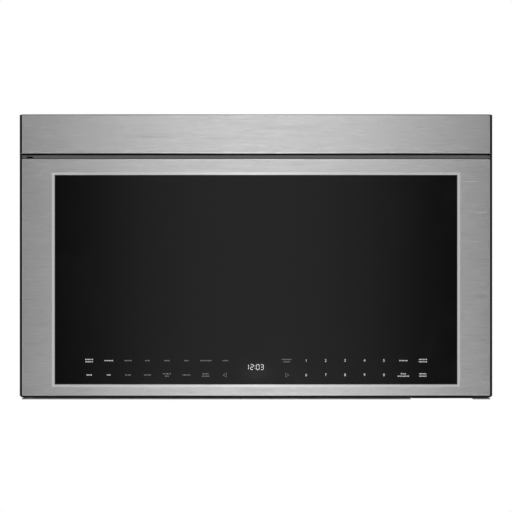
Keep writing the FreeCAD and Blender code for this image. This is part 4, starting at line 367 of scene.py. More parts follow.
# Oven lamp and worktop lamps: pressed clear glass over white moulded housings that hold small boards. The
# worktop glasses lie on the rims of their openings and have blunt prism ribs pressed into their undersides.
place = new_finish("pressed_lamp_glass")
lens_glass = coat_of(
    place,
    Base_Color=mixed(grain(place, 25, 2), (0.9, 0.93, 0.93, 1), (0.98, 0.98, 0.96, 1)),
    Roughness=0.1 + 0.12 * grain(place, 90, 2),
    Transmission_Weight=0.8,
    IOR=1.47,
    Normal=raised(place, grain(place, 240, 2), 0.0003, 0.2))
dress(lens_glass, "cavity_lamp", "lamp_lenses")


def applied(piece, kind, **settings):
    """Gives the active piece a modifier and applies it."""
    change = piece.modifiers.new(kind, kind)
    for name, value in settings.items():
        setattr(change, name, value)
    bpy.ops.object.modifier_apply(modifier=change.name)


def repeated(piece, offset, count, **settings):
    """Repeats the active piece in a row."""
    applied(piece, "ARRAY", use_relative_offset=False, use_constant_offset=True,
            constant_offset_displace=offset, count=count, **settings)


LENS_WIDTH, LENS_RIM = 0.1, 0.0036
RIB_PITCH, RIB_DROP, RIB_SINK, RIB_TIP, RIB_END = 0.0029, 0.0009, 0.0002, 0.25, 0.96
low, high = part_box("lamp_lenses")
rib_count = int((LENS_WIDTH - 2 * LENS_RIM) / RIB_PITCH)
rib = start(bpy.ops.mesh.primitive_cube_add, size=1)
bpy.ops.transform.resize(value=(RIB_PITCH, high.y - low.y - 2 * LENS_RIM, RIB_DROP + RIB_SINK))
bpy.ops.transform.translate(value=((1 - rib_count) * RIB_PITCH / 2, 0, (RIB_SINK - RIB_DROP) / 2))
pick(lambda middle, normal: normal.z < -0.9)
bpy.ops.transform.resize(value=(RIB_TIP, RIB_END, 1))
close(rib, "lamp_rib")
repeated(rib, (RIB_PITCH, 0, 0), rib_count)
ribs = [copied(rib, (middle, (low.y + high.y) / 2, low.z))
        for middle in (low.x + LENS_WIDTH / 2, high.x - LENS_WIDTH / 2)]
bpy.data.objects.remove(rib)
joined(ribs, "lamp_ribs", lens_glass, "cabinet")


def stretched(place, x, y, z):
    """The place, scaled along each axis."""
    return place.node("Mapping", {}, {"Vector": place, "Scale": (x, y, z)})


place = new_finish("white_moulding")
skin = grain(place, 1300, 2)
flow = grain(stretched(place, 1, 1, 0.4), 22, 3)
white_moulding = coat_of(
    place,
    Base_Color=mixed(flow, (0.68, 0.67, 0.64, 1), (0.8, 0.79, 0.76, 1)),
    Roughness=0.34 + 0.16 * skin,
    Normal=raised(place, skin, 0.00015, 0.3))
dress(white_moulding, "lamp_modules", "interlock_bracket", "display_module", "hinge_bushes", "latch_bar",
      "release_lever")


# Microwave works: an aluminium finned magnetron on a galvanised guide, and the aerial that turns under
# the shelf, stamped from the same soft bright aluminium as the grease filters' rims.
place = new_finish("satin_aluminium")
rolled = grain(stretched(place, 6, 160, 160), 12, 3)
satin = grain(place, 700, 2)
aluminium = coat_of(
    place,
    Base_Color=mixed(rolled, (0.58, 0.585, 0.59, 1), (0.76, 0.765, 0.77, 1)),
    Metallic=1,
    Roughness=0.28 + 0.22 * rolled + 0.06 * satin,
    Normal=raised(place, rolled + 0.4 * satin, 0.0002, 0.22))
dress(aluminium, "magnetron", "antenna", "left_filter_frame", "right_filter_frame")


# Power supply: a stack of blue-grey laminations with lacquered copper windings through it, a plated can, and
# boards of green resin with printed lanes. The turned steel also makes motors, pins and the release.
place = new_finish("lamination_stack")
edges = place.node("TexWave", {"bands_direction": "Y"}, {"Vector": place, "Scale": 320})
scale_marks = grain(place, 70, 3)
laminations = coat_of(
    place,
    Base_Color=mixed(0.6 * edges + 0.4 * scale_marks, (0.1, 0.11, 0.13, 1), (0.3, 0.31, 0.33, 1)),
    Metallic=0.85,
    Roughness=0.36 + 0.25 * scale_marks,
    Normal=raised(place, edges, 0.0003, 0.4))
dress(laminations, "transformer_core", "fan_motor")

place = new_finish("lacquered_copper")
turns = place.node("TexWave", {"bands_direction": "Z"}, {"Vector": place, "Scale": 180})
lacquer = grain(place, 60, 3)
copper = coat_of(
    place,
    Base_Color=mixed(turns * 0.7 + 0.3 * lacquer, (0.2, 0.055, 0.018, 1), (0.72, 0.29, 0.12, 1)),
    Metallic=0.9,
    Roughness=0.22 + 0.2 * lacquer,
    Coat_Weight=0.4 + 0.3 * lacquer,
    Normal=raised(place, turns, 0.0006, 0.6))
dress(copper, "transformer_windings")

place = new_finish("machined_motor_steel")
turning = grain(stretched(place, 1, 1, 30), 60, 2)
oxide = grain(place, 40, 3)
motor_steel = coat_of(
    place,
    Base_Color=mixed(between(oxide, 0.35, 0.7), (0.36, 0.365, 0.37, 1), (0.56, 0.56, 0.555, 1)),
    Metallic=1,
    Roughness=0.26 + 0.2 * turning + 0.1 * oxide,
    Normal=raised(place, turning, 0.0001, 0.25))
dress(motor_steel, "antenna_motor", "capacitor_and_diode", "blower_motor", "hinge_pins", "release_solenoid",
      "solenoid_plunger")

place = new_finish("circuit_board")
lanes = place.node("TexBrick", {"offset": 0.37}, {
    "Vector": place, "Scale": 120, "Mortar Size": 0.06, "Brick Width": 1.7, "Row Height": 0.5,
    "Color1": (0, 0, 0, 1), "Color2": (0.25, 0.25, 0.25, 1), "Mortar": (1, 1, 1, 1)})
lane = place.node("SeparateColor", {}, {"Color": lanes})
weave = grain(place, 900, 2)
board = coat_of(
    place,
    Base_Color=mixed(lane, (0.012, 0.085, 0.035, 1), (0.05, 0.22, 0.09, 1)),
    Roughness=0.32 + 0.2 * weave,
    Normal=raised(place, lane, 0.0002, 0.5))
dress(board, "main_board", "noise_filter", "control_board")


# Fans and charcoal filter: glass-filled grey mouldings for the shroud, scrolls and axial blades, with the
# flow marks and dull fibre sheen of that plastic. The filter is a bed of carbon granules in the air's way.
place = new_finish("grey_moulding")
fibres = grain(stretched(place, 1, 4, 1), 500, 3)
grey_moulding = coat_of(
    place,
    Base_Color=mixed(fibres, (0.2, 0.205, 0.21, 1), (0.3, 0.305, 0.31, 1)),
    Roughness=0.45 + 0.2 * fibres,
    Normal=raised(place, fibres, 0.0002, 0.3))
dress(grey_moulding, "fan_shroud", "cooling_fan", "blower_housings", "interlock_switches")

place = new_finish("carbon_media")
granules = place.node("TexVoronoi", {}, {"Vector": place, "Scale": 700, "Randomness": 1})
carbon = coat_of(
    place,
    Base_Color=mixed(granules, (0.05, 0.05, 0.052, 1), (0.008, 0.008, 0.008, 1)),
    Roughness=0.6 + 0.3 * granules,
    Normal=raised(place, granules, 0.0015, 0.8))
dress(carbon, "charcoal_filter")


# Grease filters: a rolled aluminium rim holding two layers of slit and stretched aluminium net. Each layer is
# one tilted diamond of strands repeated over the rim's window and trimmed to it.
NET_LENGTH, NET_HEIGHT, NET_STRAND, NET_SHEET = 0.0152, 0.0076, 0.0007, 0.0003
NET_TILT, NET_SHIFT, LOWER_LAYER, UPPER_LAYER = 6, 0.25, 0.0005, 0.0008


def stretched_net(name, low, high, level, tilt, shift):
    """One layer of net between two corners."""
    long_count = math.ceil((high.x - low.x) / NET_LENGTH) + 2
    short_count = math.ceil((high.y - low.y) / NET_HEIGHT) + 2
    net = start(bpy.ops.mesh.primitive_circle_add, vertices=4, radius=0.5, fill_type="NGON")
    bpy.ops.transform.resize(value=(NET_LENGTH, NET_HEIGHT, 1))
    bpy.ops.mesh.inset(thickness=NET_STRAND)
    bpy.ops.mesh.delete(type="FACE")
    bpy.ops.mesh.select_all(action="SELECT")
    bpy.ops.transform.rotate(value=math.radians(tilt), orient_axis="X", center_override=(0, 0, 0))
    bpy.ops.transform.translate(value=(low.x + shift * NET_LENGTH, low.y + shift * NET_HEIGHT, level))
    close(net, name)
    repeated(net, (NET_LENGTH, 0, 0), long_count)
    repeated(net, (0, NET_HEIGHT, 0), short_count)
    repeated(net, (NET_LENGTH / 2, NET_HEIGHT / 2, 0), 2)
    bpy.ops.object.mode_set(mode="EDIT")
    for point, side in (((low.x, 0, 0), (-1, 0, 0)), ((high.x, 0, 0), (1, 0, 0)),
                        ((0, low.y, 0), (0, -1, 0)), ((0, high.y, 0), (0, 1, 0))):
        bpy.ops.mesh.select_all(action="SELECT")
        bpy.ops.mesh.bisect(plane_co=point, plane_no=side, clear_outer=True)
    bpy.ops.object.mode_set(mode="OBJECT")
    applied(net, "SOLIDIFY", thickness=NET_SHEET, offset=0)
    return net


for side in ("left", "right"):
    low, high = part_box(f"{side}_filter_mesh")
    layers = [stretched_net(f"{side}_net", low, high, low.z + LOWER_LAYER, NET_TILT, 0),
              stretched_net(f"{side}_net_behind", low, high, high.z + UPPER_LAYER, -NET_TILT, NET_SHIFT)]
    whole_net = joined(layers, f"{side}_filter_net", aluminium, f"filter_{side}")
    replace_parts(whole_net, f"{side}_filter_mesh")


# Fascia and door face: brushed stainless sheet, its grain running from side to side, folded back at the
# edges over the black mouldings behind. Its ends carry a painted highlight; a painted shade darkens the bend
# along its top.
def axes(place, names):
    """The place measured along each of the named axes."""
    return [place.node("SeparateXYZ", {}, {"Vector": place}, name) for name in names]


def grey(level, warmth=0.0):
    """A grey, a little warmer or cooler than neutral."""
    return (level * (1 + warmth), level, level * (1 - warmth), 1)


STEEL_END, STEEL_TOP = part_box("fascia_skin")[1].x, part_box("fascia_skin")[1].z
EDGE_FROM, EDGE_TO = 0.0019, 0.0013
place = new_finish("brushed_stainless")
across, height = axes(place, "XZ")
# Painted highlight: the steel's ends are painted brighter where the rolled edge catches the light.
painted_edge_highlight = between(abs(across), STEEL_END - EDGE_FROM, STEEL_END - EDGE_TO)
# Painted shade: the bend along the top is painted dark grey.
painted_bend_shade = between(height, STEEL_TOP - EDGE_FROM, STEEL_TOP - EDGE_TO)
fine = grain(stretched(place, 3, 900, 900), 6, 3, 0.6)
strokes = grain(stretched(place, 40, 520, 520), 1, 1)
hairs = between(grain(stretched(place, 4, 2200, 2200), 3, 1), 0.6, 0.72)
touch = grain(place, 6, 3)
# Brushed grain, plus the painted highlight along the ends.
brushing_and_highlight = (0.3 * fine + 0.36 * between(strokes, 0.62, 0.71) + 0.36 * between(strokes, 0.29, 0.38)
         + 0.06 * hairs + 0.9 * painted_edge_highlight + 0.01)
stainless = coat_of(
    place,
    Base_Color=mixed(painted_bend_shade, mixed(brushing_and_highlight, grey(0.485), grey(0.625)), grey(0.23)),
    Metallic=1,
    Roughness=0.21 + 0.14 * fine + 0.04 * touch,
    Anisotropic=0.75,
    Anisotropic_Rotation=0.25,
    Normal=raised(place, fine + 0.5 * hairs, 0.00008, 0.25))
dress(stainless, "fascia_skin", "door_skin")


# Vent lip and underside: satin dark-grey steel. The lip is a strip folded under the air outlet, from the
# front frame forward to just behind the fascia's face, with a small slot at its left end that shows the
# upper hinge. The underside is the oven's base, with a painted highlight along its front edge.
LIP_INSET, LIP_GAP, LIP_SHEET, LIP_ROUND, HINGE_ROOM = 0.0002, 0.0004, 0.0008, 0.0003, 0.002
LIP_LEFT, LIP_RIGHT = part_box("vent_grille")[0].x + LIP_INSET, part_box("vent_grille")[1].x - LIP_INSET
LIP_LOW, LIP_TOP, LIP_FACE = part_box("door_skin")[1].z + LIP_GAP, 0.3922, -0.1702
SHELF_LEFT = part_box("upper_hinge")[1].x + HINGE_ROOM
SLOT_LEFT, SLOT_RIGHT, SLOT_RIM, SLOT_DROP = -0.3697, -0.3575, 0.0011, 0.0005
FRAME_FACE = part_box("front_frame")[0].y


def turned_out():
    """Turns all faces of the open piece outwards."""
    bpy.ops.mesh.select_all(action="SELECT")
    bpy.ops.mesh.normals_make_consistent(inside=False)


lip = start(bpy.ops.mesh.primitive_plane_add, size=1)
bpy.ops.transform.resize(value=(LIP_RIGHT - SHELF_LEFT, FRAME_FACE - LIP_FACE, 1))
bpy.ops.transform.translate(value=((LIP_RIGHT + SHELF_LEFT) / 2, (FRAME_FACE + LIP_FACE) / 2, LIP_TOP))
pick(lambda first, second: max(first.y, second.y) < LIP_FACE + NEAR, "EDGE")
pulled(0, 0, LIP_LOW - LIP_TOP)
pick(lambda first, second: max(first.y, second.y) < LIP_FACE + NEAR
     and max(first.x, second.x) < SHELF_LEFT + NEAR, "EDGE")
for step in (SLOT_RIGHT - SHELF_LEFT, SLOT_LEFT - SLOT_RIGHT, LIP_LEFT - SLOT_LEFT):
    pulled(step, 0, 0)
pick(lambda middle, normal: SLOT_LEFT < middle.x < SLOT_RIGHT)
bpy.ops.mesh.inset(thickness=SLOT_RIM)
bpy.ops.transform.translate(value=(0, 0, -SLOT_DROP))
bpy.ops.mesh.delete(type="FACE")
turned_out()
close(lip, "vent_lip")
applied(lip, "SOLIDIFY", thickness=LIP_SHEET, offset=-1)
applied(lip, "BEVEL", width=LIP_ROUND, segments=2)

BASE_FRONT, BASE_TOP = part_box("base_plate")[0].y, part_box("base_plate")[1].z
FRONT_HIGHLIGHT_FIRM, FRONT_HIGHLIGHT_GONE = 0.0006, 0.0016
place = new_finish("satin_dark_steel")
along, height = axes(place, "YZ")
# Painted highlight: the base's front edge is painted lighter, standing in for the light it catches.
painted_front_highlight = (1 - between(along, BASE_FRONT + FRONT_HIGHLIGHT_FIRM, BASE_FRONT + FRONT_HIGHLIGHT_GONE)) * (height < BASE_TOP)
rolling = grain(stretched(place, 20, 700, 700), 1, 3)
dark_steel = coat_of(
    place,
    Base_Color=mixed(painted_front_highlight, mixed(rolling, grey(0.16, -0.008), grey(0.2, -0.008)), grey(0.4)),
    Metallic=0.9,
    Roughness=0.3 + 0.16 * rolling,
    Normal=raised(place, rolling, 0.0001, 0.2))
joined([lip], "vent_lip", dark_steel, "cabinet")
dress(dark_steel, "base_plate")


# Upper hinge: a bent steel strap behind the slot, chemically blacked, dull and slightly oily. Its flange is
# welded to the front frame, and the upper hinge pin goes down through its eye.
place = new_finish("black_oxide")
oil = grain(place, 120, 3)
black_oxide = coat_of(
    place,
    Base_Color=mixed(oil, grey(0.002), grey(0.005)),
    Roughness=0.7 + 0.25 * oil,
    Specular_IOR_Level=0.08,
    Normal=raised(place, oil, 0.0001, 0.2))
dress(black_oxide, "upper_hinge")


# Vent grille, door shell and covers: black moulded plastic with a fine spark-eroded grain, clipped behind the
# steel. Painted light greys the edge of the air outlet, and a painted highlight pales the door's lower rim.
OUTLET_TOP, DOOR_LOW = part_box("vent_grille")[0].z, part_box("door_shell")[0].z
OUTLET_LIGHT_OUTER, OUTLET_LIGHT_INNER, OUTLET_LIGHT_FIRM, OUTLET_LIGHT_GONE = 0.002, 0.001, 0.0005, 0.003
RIM_LIGHT_FIRM, RIM_LIGHT_GONE = 0.0002, 0.001
place = new_finish("black_moulding")
across, height = axes(place, "XZ")
inside = 1 - between(abs(across), STEEL_END - OUTLET_LIGHT_OUTER, STEEL_END - OUTLET_LIGHT_INNER)
# Painted light: a paler grey band along the edge of the air outlet, standing in for light in the shaded gap.
painted_outlet_light = inside * between(height, OUTLET_TOP - OUTLET_LIGHT_OUTER, OUTLET_TOP - OUTLET_LIGHT_INNER) * (
    1 - between(height, OUTLET_TOP + OUTLET_LIGHT_FIRM, OUTLET_TOP + OUTLET_LIGHT_GONE))
# Painted highlight: the door's lower rim is painted paler, as if lit from below.
painted_rim_light = 1 - between(height, DOOR_LOW + RIM_LIGHT_FIRM, DOOR_LOW + RIM_LIGHT_GONE)
spark = grain(place, 1500, 2)
sweep = grain(place, 12, 3)
black_moulding = coat_of(
    place,
    Base_Color=mixed(painted_outlet_light + painted_rim_light, mixed(sweep, grey(0.006, -0.03), grey(0.013, -0.03)), grey(0.11)),
    Roughness=0.45 + 0.2 * spark,
    Specular_IOR_Level=0.25,
    Normal=raised(place, spark, 0.00025, 0.35))
dress(black_moulding, "vent_grille", "door_shell", "choke_cover", "door_inner_cover")


# End caps: black moulded strips that close the ends of the fascia's and the door's steel, flush with its
# face and rounded at their edges, with one along the fascia's top and cheeks at the ends of the air
# outlet. Each is pushed onto the rim of the moulding behind the steel.
CAP_INSET, CAP_SINK, CAP_LAP, CAP_ROUND = 0.0002, 0.0001, 0.0004, 0.0003
CAP_FACE, CAP_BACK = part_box("door_skin")[0].y + CAP_INSET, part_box("door_skin")[1].y + CAP_SINK


def cap_strip(low, high):
    """A strip between two corners, its front edges rounded."""
    middle = [(first + second) / 2 for first, second in zip(low, high)]
    strip = start(bpy.ops.mesh.primitive_cube_add, size=1, location=middle)
    bpy.ops.transform.resize(value=[second - first for first, second in zip(low, high)])
    pick(lambda first, second: first.y < 0 and second.y < 0, "EDGE")
    bpy.ops.mesh.bevel(offset=CAP_ROUND, segments=3)
    return close(strip, "cap_strip", 40)


def end_caps(skin, shell, low):
    """The two caps at the ends of one steel skin, from a low end up to the top of its shell."""
    near, far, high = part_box(skin)[1].x - CAP_LAP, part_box(shell)[1].x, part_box(shell)[1].z
    return [cap_strip((-far, CAP_FACE, low), (-near, CAP_BACK, high)),
            cap_strip((near, CAP_FACE, low), (far, CAP_BACK, high))]


TOP_DEPTH, CHEEK, CHEEK_LAP = 0.006, 0.0029, 0.001
EDGE, GRILLE_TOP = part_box("vent_grille")[1].x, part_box("vent_grille")[1].z
CHEEK_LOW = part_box("door_shell")[1].z + CAP_INSET
CHEEK_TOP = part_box("fascia_skin")[0].z + CHEEK_LAP
fascia_caps = end_caps("fascia_skin", "vent_grille", CHEEK_LOW) + [
    cap_strip((-EDGE, CAP_BACK, GRILLE_TOP - CAP_SINK), (EDGE, CAP_BACK + TOP_DEPTH, STEEL_TOP)),
    cap_strip((-EDGE, CAP_BACK, CHEEK_LOW), (CHEEK - EDGE, FRAME_FACE, CHEEK_TOP)),
    cap_strip((EDGE - CHEEK, CAP_BACK, CHEEK_LOW), (EDGE, FRAME_FACE, CHEEK_TOP))]
door_caps = end_caps("door_skin", "door_shell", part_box("door_skin")[0].z)
joined(fascia_caps, "fascia_end_caps", black_moulding, "cabinet")
joined(door_caps, "door_end_caps", black_moulding, "door")


# Fascia hems: the fascia's own stainless sheet, folded back on itself in a narrow hem along its upper and its
# lower edge, so that no raw edge shows. The hems are pressed flat and rounded at the fold.
TOP_LAP, HEM_DROP, HEM_LAP, HEM_INSET = 0.0013, 0.0005, 0.0008, 0.00005
STEEL_LOW, HEM_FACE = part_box("fascia_skin")[0].z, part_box("fascia_skin")[0].y + HEM_INSET
# The upper hem lies within the stainless finish's painted shade along the top bend, so it shows dark grey.
hems = [cap_strip((-STEEL_END, CAP_FACE, STEEL_TOP - TOP_LAP), (STEEL_END, CAP_BACK, STEEL_TOP)),
        cap_strip((-STEEL_END, HEM_FACE, STEEL_LOW - HEM_DROP), (STEEL_END, CAP_BACK, STEEL_LOW + HEM_LAP))]
joined(hems, "fascia_hems", stainless, "cabinet")


# Notch shade: a thin strip of black rubber, bonded under the door's lower edge over the notch in the base,
# where the door is pulled open. It is a dark strip that stands in for the shade inside the notch; its front
# edge is rounded.
NOTCH_SHADE_LEFT, NOTCH_SHADE_RIGHT, NOTCH_SHADE_DEPTH, NOTCH_SHADE_DROP = 0.2505, 0.3485, 0.009, 0.0008
NOTCH_SHADE_INSET, NOTCH_SHADE_SINK = 0.0001, 0.0005
DOOR_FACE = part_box("door_shell")[0].y
# A dark strip standing in for the shade inside the notch.
notch_shade = cap_strip((NOTCH_SHADE_LEFT, DOOR_FACE + NOTCH_SHADE_INSET, DOOR_LOW - NOTCH_SHADE_DROP),
                 (NOTCH_SHADE_RIGHT, DOOR_FACE + NOTCH_SHADE_DEPTH, DOOR_LOW + NOTCH_SHADE_SINK))
joined([notch_shade], "finger_grip", rubber, "door")


# Window trim: a bright smooth bevel from the steel down to the glass, drawn from stainless strip in one
# piece and polished along its length. Its flange is held behind the door's face.
place = new_finish("bright_bevel")
drawn = grain(stretched(place, 2, 300, 300), 8, 2)
bright_bevel = coat_of(
    place,
    Base_Color=mixed(drawn, grey(0.68), grey(0.76)),
    Metallic=1,
    Roughness=0.24 + 0.1 * drawn,
    Anisotropic=0.5,
    Anisotropic_Rotation=0.25,
    Normal=raised(place, drawn, 0.00004, 0.15))
dress(bright_bevel, "window_trim")


# Door glass: one black-backed pane over window and keys, clear-polished, with the faint smears of use. The
# clock's light spreads a little in its backing, so the ground about the figures is slightly paler.
GLOW_LEVEL, GLOW_WIDE, GLOW_TALL, GLOW_SHADE = 0.0428, 0.021, 0.015, 0.0092
place = new_finish("black_glass")
across, height = axes(place, "XZ")
glow = place.maths("EXPONENT", 0 - (across / GLOW_WIDE) ** 2 - ((height - GLOW_LEVEL) / GLOW_TALL) ** 2)
smears = grain(stretched(place, 1, 1, 0.6), 16, 4, 0.6)
black_glass = coat_of(
    place,
    Base_Color=mixed(smears, (0.0012, 0.0012, 0.0013, 1), (0.0021, 0.0021, 0.0022, 1)),
    Roughness=0.07 + 0.06 * between(smears, 0.4, 0.75),
    IOR=1.5,
    Emission_Color=mixed(glow, grey(0), grey(GLOW_SHADE)),
    Emission_Strength=1,
    Normal=raised(place, grain(place, 4, 2), 0.0004, 0.04))
dress(black_glass, "door_glass")


# Window bead: a thin black rubber gasket, pressed in all round between the trim and the glass, with its two
# upper edges rounded. It is one frame with mitred corners.
# The bead is a real gasket; its black band also stands in for the shade along the trim's inner edge.
TRIM_WIDTH, BEAD_LAP, BEAD_WIDTH, BEAD_RISE, BEAD_ROUND = 0.0089, 0.00055, 0.00105, 0.0017, 0.0002
GLASS_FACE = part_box("door_glass")[0].y
low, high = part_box("window_trim")
margin = 2 * (BEAD_LAP - TRIM_WIDTH)
bead = start(bpy.ops.mesh.primitive_plane_add, size=1, rotation=UPRIGHT,
             location=(0, GLASS_FACE - BEAD_RISE, (low.z + high.z) / 2))
bpy.ops.transform.resize(value=(high.x - low.x + margin, 1, high.z - low.z + margin))
bpy.ops.mesh.inset(thickness=BEAD_WIDTH)
bpy.ops.mesh.delete(type="FACE")
bpy.ops.mesh.select_all(action="SELECT")
pulled(0, BEAD_RISE, 0)
turned_out()
pick(lambda first, second: max(first.z, second.z) < NEAR or min(first.z, second.z) > -NEAR, "EDGE")
bpy.ops.mesh.bevel(offset=BEAD_ROUND, segments=2)
close(bead, "window_bead", 40)
joined([bead], "window_bead", rubber, "door")


# Inner pane: clear toughened glass, bonded to the oven's side of the door's pan inside the choke cover's
# frame, with the thin film that steam leaves on it.
place = new_finish("inner_pane_glass")
film = grain(place, 20, 3)
pane_glass = coat_of(
    place,
    Base_Color=mixed(film, (0.72, 0.75, 0.74, 1), (0.86, 0.88, 0.87, 1)),
    Roughness=0.03 + 0.07 * film,
    Transmission_Weight=1.0,
    IOR=1.5)
dress(pane_glass, "inner_pane")


# Door screen: thin steel sheet, punched all over with small round holes and painted black against glare.
# One punched square is repeated over the window of the pan.
SCREEN_PITCH, SCREEN_SHEET, SCREEN_WELD = 0.007, 0.0005, 0.00005
HOLE_RADIUS, HOLE_CORNERS, HALF_CELL = 0.31, 8, 0.5
low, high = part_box("inner_screen")
columns, rows = (round(length / SCREEN_PITCH) for length in (high.x - low.x, high.z - low.z))
wide, tall = (high.x - low.x) / columns, (high.z - low.z) / rows
screen = start(bpy.ops.mesh.primitive_circle_add, vertices=HOLE_CORNERS, radius=HOLE_RADIUS)
bpy.ops.mesh.extrude_region_move()
bpy.ops.transform.resize(value=(HALF_CELL / HOLE_RADIUS, HALF_CELL / HOLE_RADIUS, 1))
pick(lambda spot, normal: spot.length > HOLE_RADIUS + NEAR
     and abs(abs(spot.x) - abs(spot.y)) < NEAR, "VERT")
bpy.ops.transform.resize(value=(math.sqrt(2), math.sqrt(2), 1))
screen.scale = (wide, tall, 1)
screen.rotation_euler = UPRIGHT
screen.location = (low.x + wide / 2, (low.y + high.y) / 2, low.z + tall / 2)
close(screen, "door_screen")
repeated(screen, (wide, 0, 0), columns, use_merge_vertices=True, merge_threshold=SCREEN_WELD)
repeated(screen, (0, 0, tall), rows, use_merge_vertices=True, merge_threshold=SCREEN_WELD)
applied(screen, "SOLIDIFY", thickness=SCREEN_SHEET, offset=0)

place = new_finish("black_screen_paint")
chalk = grain(place, 300, 3)
screen_paint = coat_of(
    place,
    Base_Color=mixed(chalk, (0.014, 0.014, 0.015, 1), (0.04, 0.04, 0.042, 1)),
    Metallic=0.3,
    Roughness=0.4 + 0.25 * chalk,
    Normal=raised(place, chalk, 0.0001, 0.3))
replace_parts(joined([screen], "door_screen", screen_paint, "door"), "inner_screen")


# Latch spring: a moulded zigzag of white plastic between the latch bar and its seat in the door's cover.
SPRING_FOLDS, SPRING_STRIP, SPRING_SHEET, SPRING_ROUND = 6, 0.0016, 0.00144, 0.0004
LATCH_TRAVEL = next(joint["range_m"][1] for joint in frame["joints"] if joint["name"] == "latch_slide")
low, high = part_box("latch_spring")
middle = (low + high) / 2
reach = high.y - low.y - SPRING_STRIP
rise = (high.z - low.z - SPRING_STRIP) / SPRING_FOLDS
spring = start(bpy.ops.mesh.primitive_plane_add, size=1)
bpy.ops.transform.resize(value=(high.x - low.x, reach, 1))
bpy.ops.transform.translate(value=(middle.x, middle.y, low.z + SPRING_STRIP / 2))
pick(lambda first, second: max(first.y, second.y) < middle.y, "EDGE")
bpy.ops.transform.translate(value=(0, 0, rise))
for fold in range(1, SPRING_FOLDS):
    pulled(0, reach * (-1) ** (fold + 1), rise)
turned_out()
close(spring, "latch_spring_folds")
applied(spring, "SOLIDIFY", thickness=SPRING_SHEET, offset=0)
applied(spring, "BEVEL", width=SPRING_ROUND, segments=2)
spring = joined([spring], "latch_spring_folds", white_moulding, "door")
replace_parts(spring, "latch_spring")
1 - LATCH_TRAVEL / (high.z - low.z)
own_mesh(spring)


# Key legends: white and grey ink, screen-printed on the glass in two rows of eight each side of the clock.
# Words are left as plain bars, one short bar for a letter, and the number keys carry their numbers.
PRINT_DEPTH = 0.00012
FIRST_COLUMN, COLUMN_PITCH = 0.0495, 0.03126
UPPER_ROW, LOWER_ROW = 0.0622, 0.0391
LETTER_HEIGHT, LETTER_PITCH, LETTER_ROUND, LINE_PITCH = 0.0018, 0.0021, 0.22, 0.0038
LETTER_SHARE, LETTER_SPREAD, STEP_PHASE, PLACE_PHASE = 0.54, 0.18, 2.4, 300
NUMBER_SIZE, ARROW_RADIUS, ARROW_LINE = 0.0062, 0.0041, 0.00045

letter = start(bpy.ops.mesh.primitive_plane_add, size=1, rotation=UPRIGHT)
bpy.ops.mesh.bevel(offset=LETTER_ROUND, segments=2, affect="VERTICES")
pulled(0, 1, 0)
turned_out()
close(letter, "letter_bar")


def word(across, level, width):
    """A row of letter bars of uneven breadth, centred on a place."""
    count = max(2, round(width / LETTER_PITCH))
    bars = []
    for step in range(count):
        spot = across + (step - (count - 1) / 2) * width / count
        spread = LETTER_SPREAD * math.sin(STEP_PHASE * step + PLACE_PHASE * across)
        breadth = width / count * (LETTER_SHARE + spread)
        bars.append(copied(letter, (spot, GLASS_FACE - PRINT_DEPTH, level),
                           scale=(breadth, PRINT_DEPTH, LETTER_HEIGHT)))
    return bars


def legend(across, level, widths):
    """One or more words under each other."""
    bars = []
    for step, width in enumerate(widths):
        bars += word(across, level + ((len(widths) - 1) / 2 - step) * LINE_PITCH, width)
    return bars


RIGHT = [FIRST_COLUMN + COLUMN_PITCH * step for step in range(8)]
LEFT = [-across for across in reversed(RIGHT)]
BRIGHT_WORDS = {
    UPPER_ROW: {LEFT[0]: (0.0128, 0.0123), LEFT[1]: (0.015,),
                RIGHT[6]: (0.0134,), RIGHT[7]: (0.014, 0.014)},
    LOWER_ROW: {LEFT[0]: (0.0088,), LEFT[1]: (0.0067,),
                RIGHT[6]: (0.0086, 0.0188), RIGHT[7]: (0.0123, 0.0134)}}
DIM_WORDS = {
    UPPER_ROW: {LEFT[2]: (0.0118,), LEFT[3]: (0.0086,), LEFT[4]: (0.0086,), LEFT[5]: (0.008,),
                LEFT[6]: (0.0182,), LEFT[7]: (0.0097,), RIGHT[0]: (0.016, 0.0107)},
    LOWER_ROW: {LEFT[2]: (0.0097,), LEFT[3]: (0.0118,), LEFT[4]: (0.0129, 0.0064), LEFT[5]: (0.0134,),
                LEFT[6]: (0.0107, 0.0123)}}
bright, dim = ([bar for level, keys in words.items() for across, widths in keys.items()
                for bar in legend(across, level, widths)] for words in (BRIGHT_WORDS, DIM_WORDS))
bpy.data.objects.remove(letter)

arrow = start(bpy.ops.mesh.primitive_circle_add, vertices=3, radius=ARROW_RADIUS, fill_type="NGON")
bpy.ops.mesh.inset(thickness=ARROW_LINE)
bpy.ops.mesh.delete(type="FACE")
bpy.ops.mesh.select_all(action="SELECT")
pulled(0, 0, PRINT_DEPTH)
turned_out()
close(arrow, "arrow_icon")
for across, turn in ((LEFT[7], -math.pi / 2), (RIGHT[0], math.pi / 2)):
    dim.append(copied(arrow, (across, GLASS_FACE, LOWER_ROW), (math.pi / 2, turn, 0)))
bpy.data.objects.remove(arrow)

numbers = []
for level, figures in ((UPPER_ROW, "12345"), (LOWER_ROW, "67890")):
    for across, figure in zip(RIGHT[1:6], figures):
        bpy.ops.object.select_all(action="DESELECT")
        bpy.ops.object.text_add(location=(across, GLASS_FACE - PRINT_DEPTH / 2, level), rotation=UPRIGHT)
        number = bpy.context.object.data
        number.body, number.size, number.extrude = figure, NUMBER_SIZE, PRINT_DEPTH / 2
        number.align_x = number.align_y = "CENTER"
        bpy.ops.object.convert(target="MESH")
        numbers.append(bpy.context.object)


def print_finish(name, dark, pale):
    """Screen-printed ink with uneven cover."""
    place = new_finish(name)
    cover = grain(place, 2400, 2)
    return coat_of(place, Base_Color=mixed(cover, grey(dark), grey(pale)), Roughness=0.4 + 0.2 * cover)


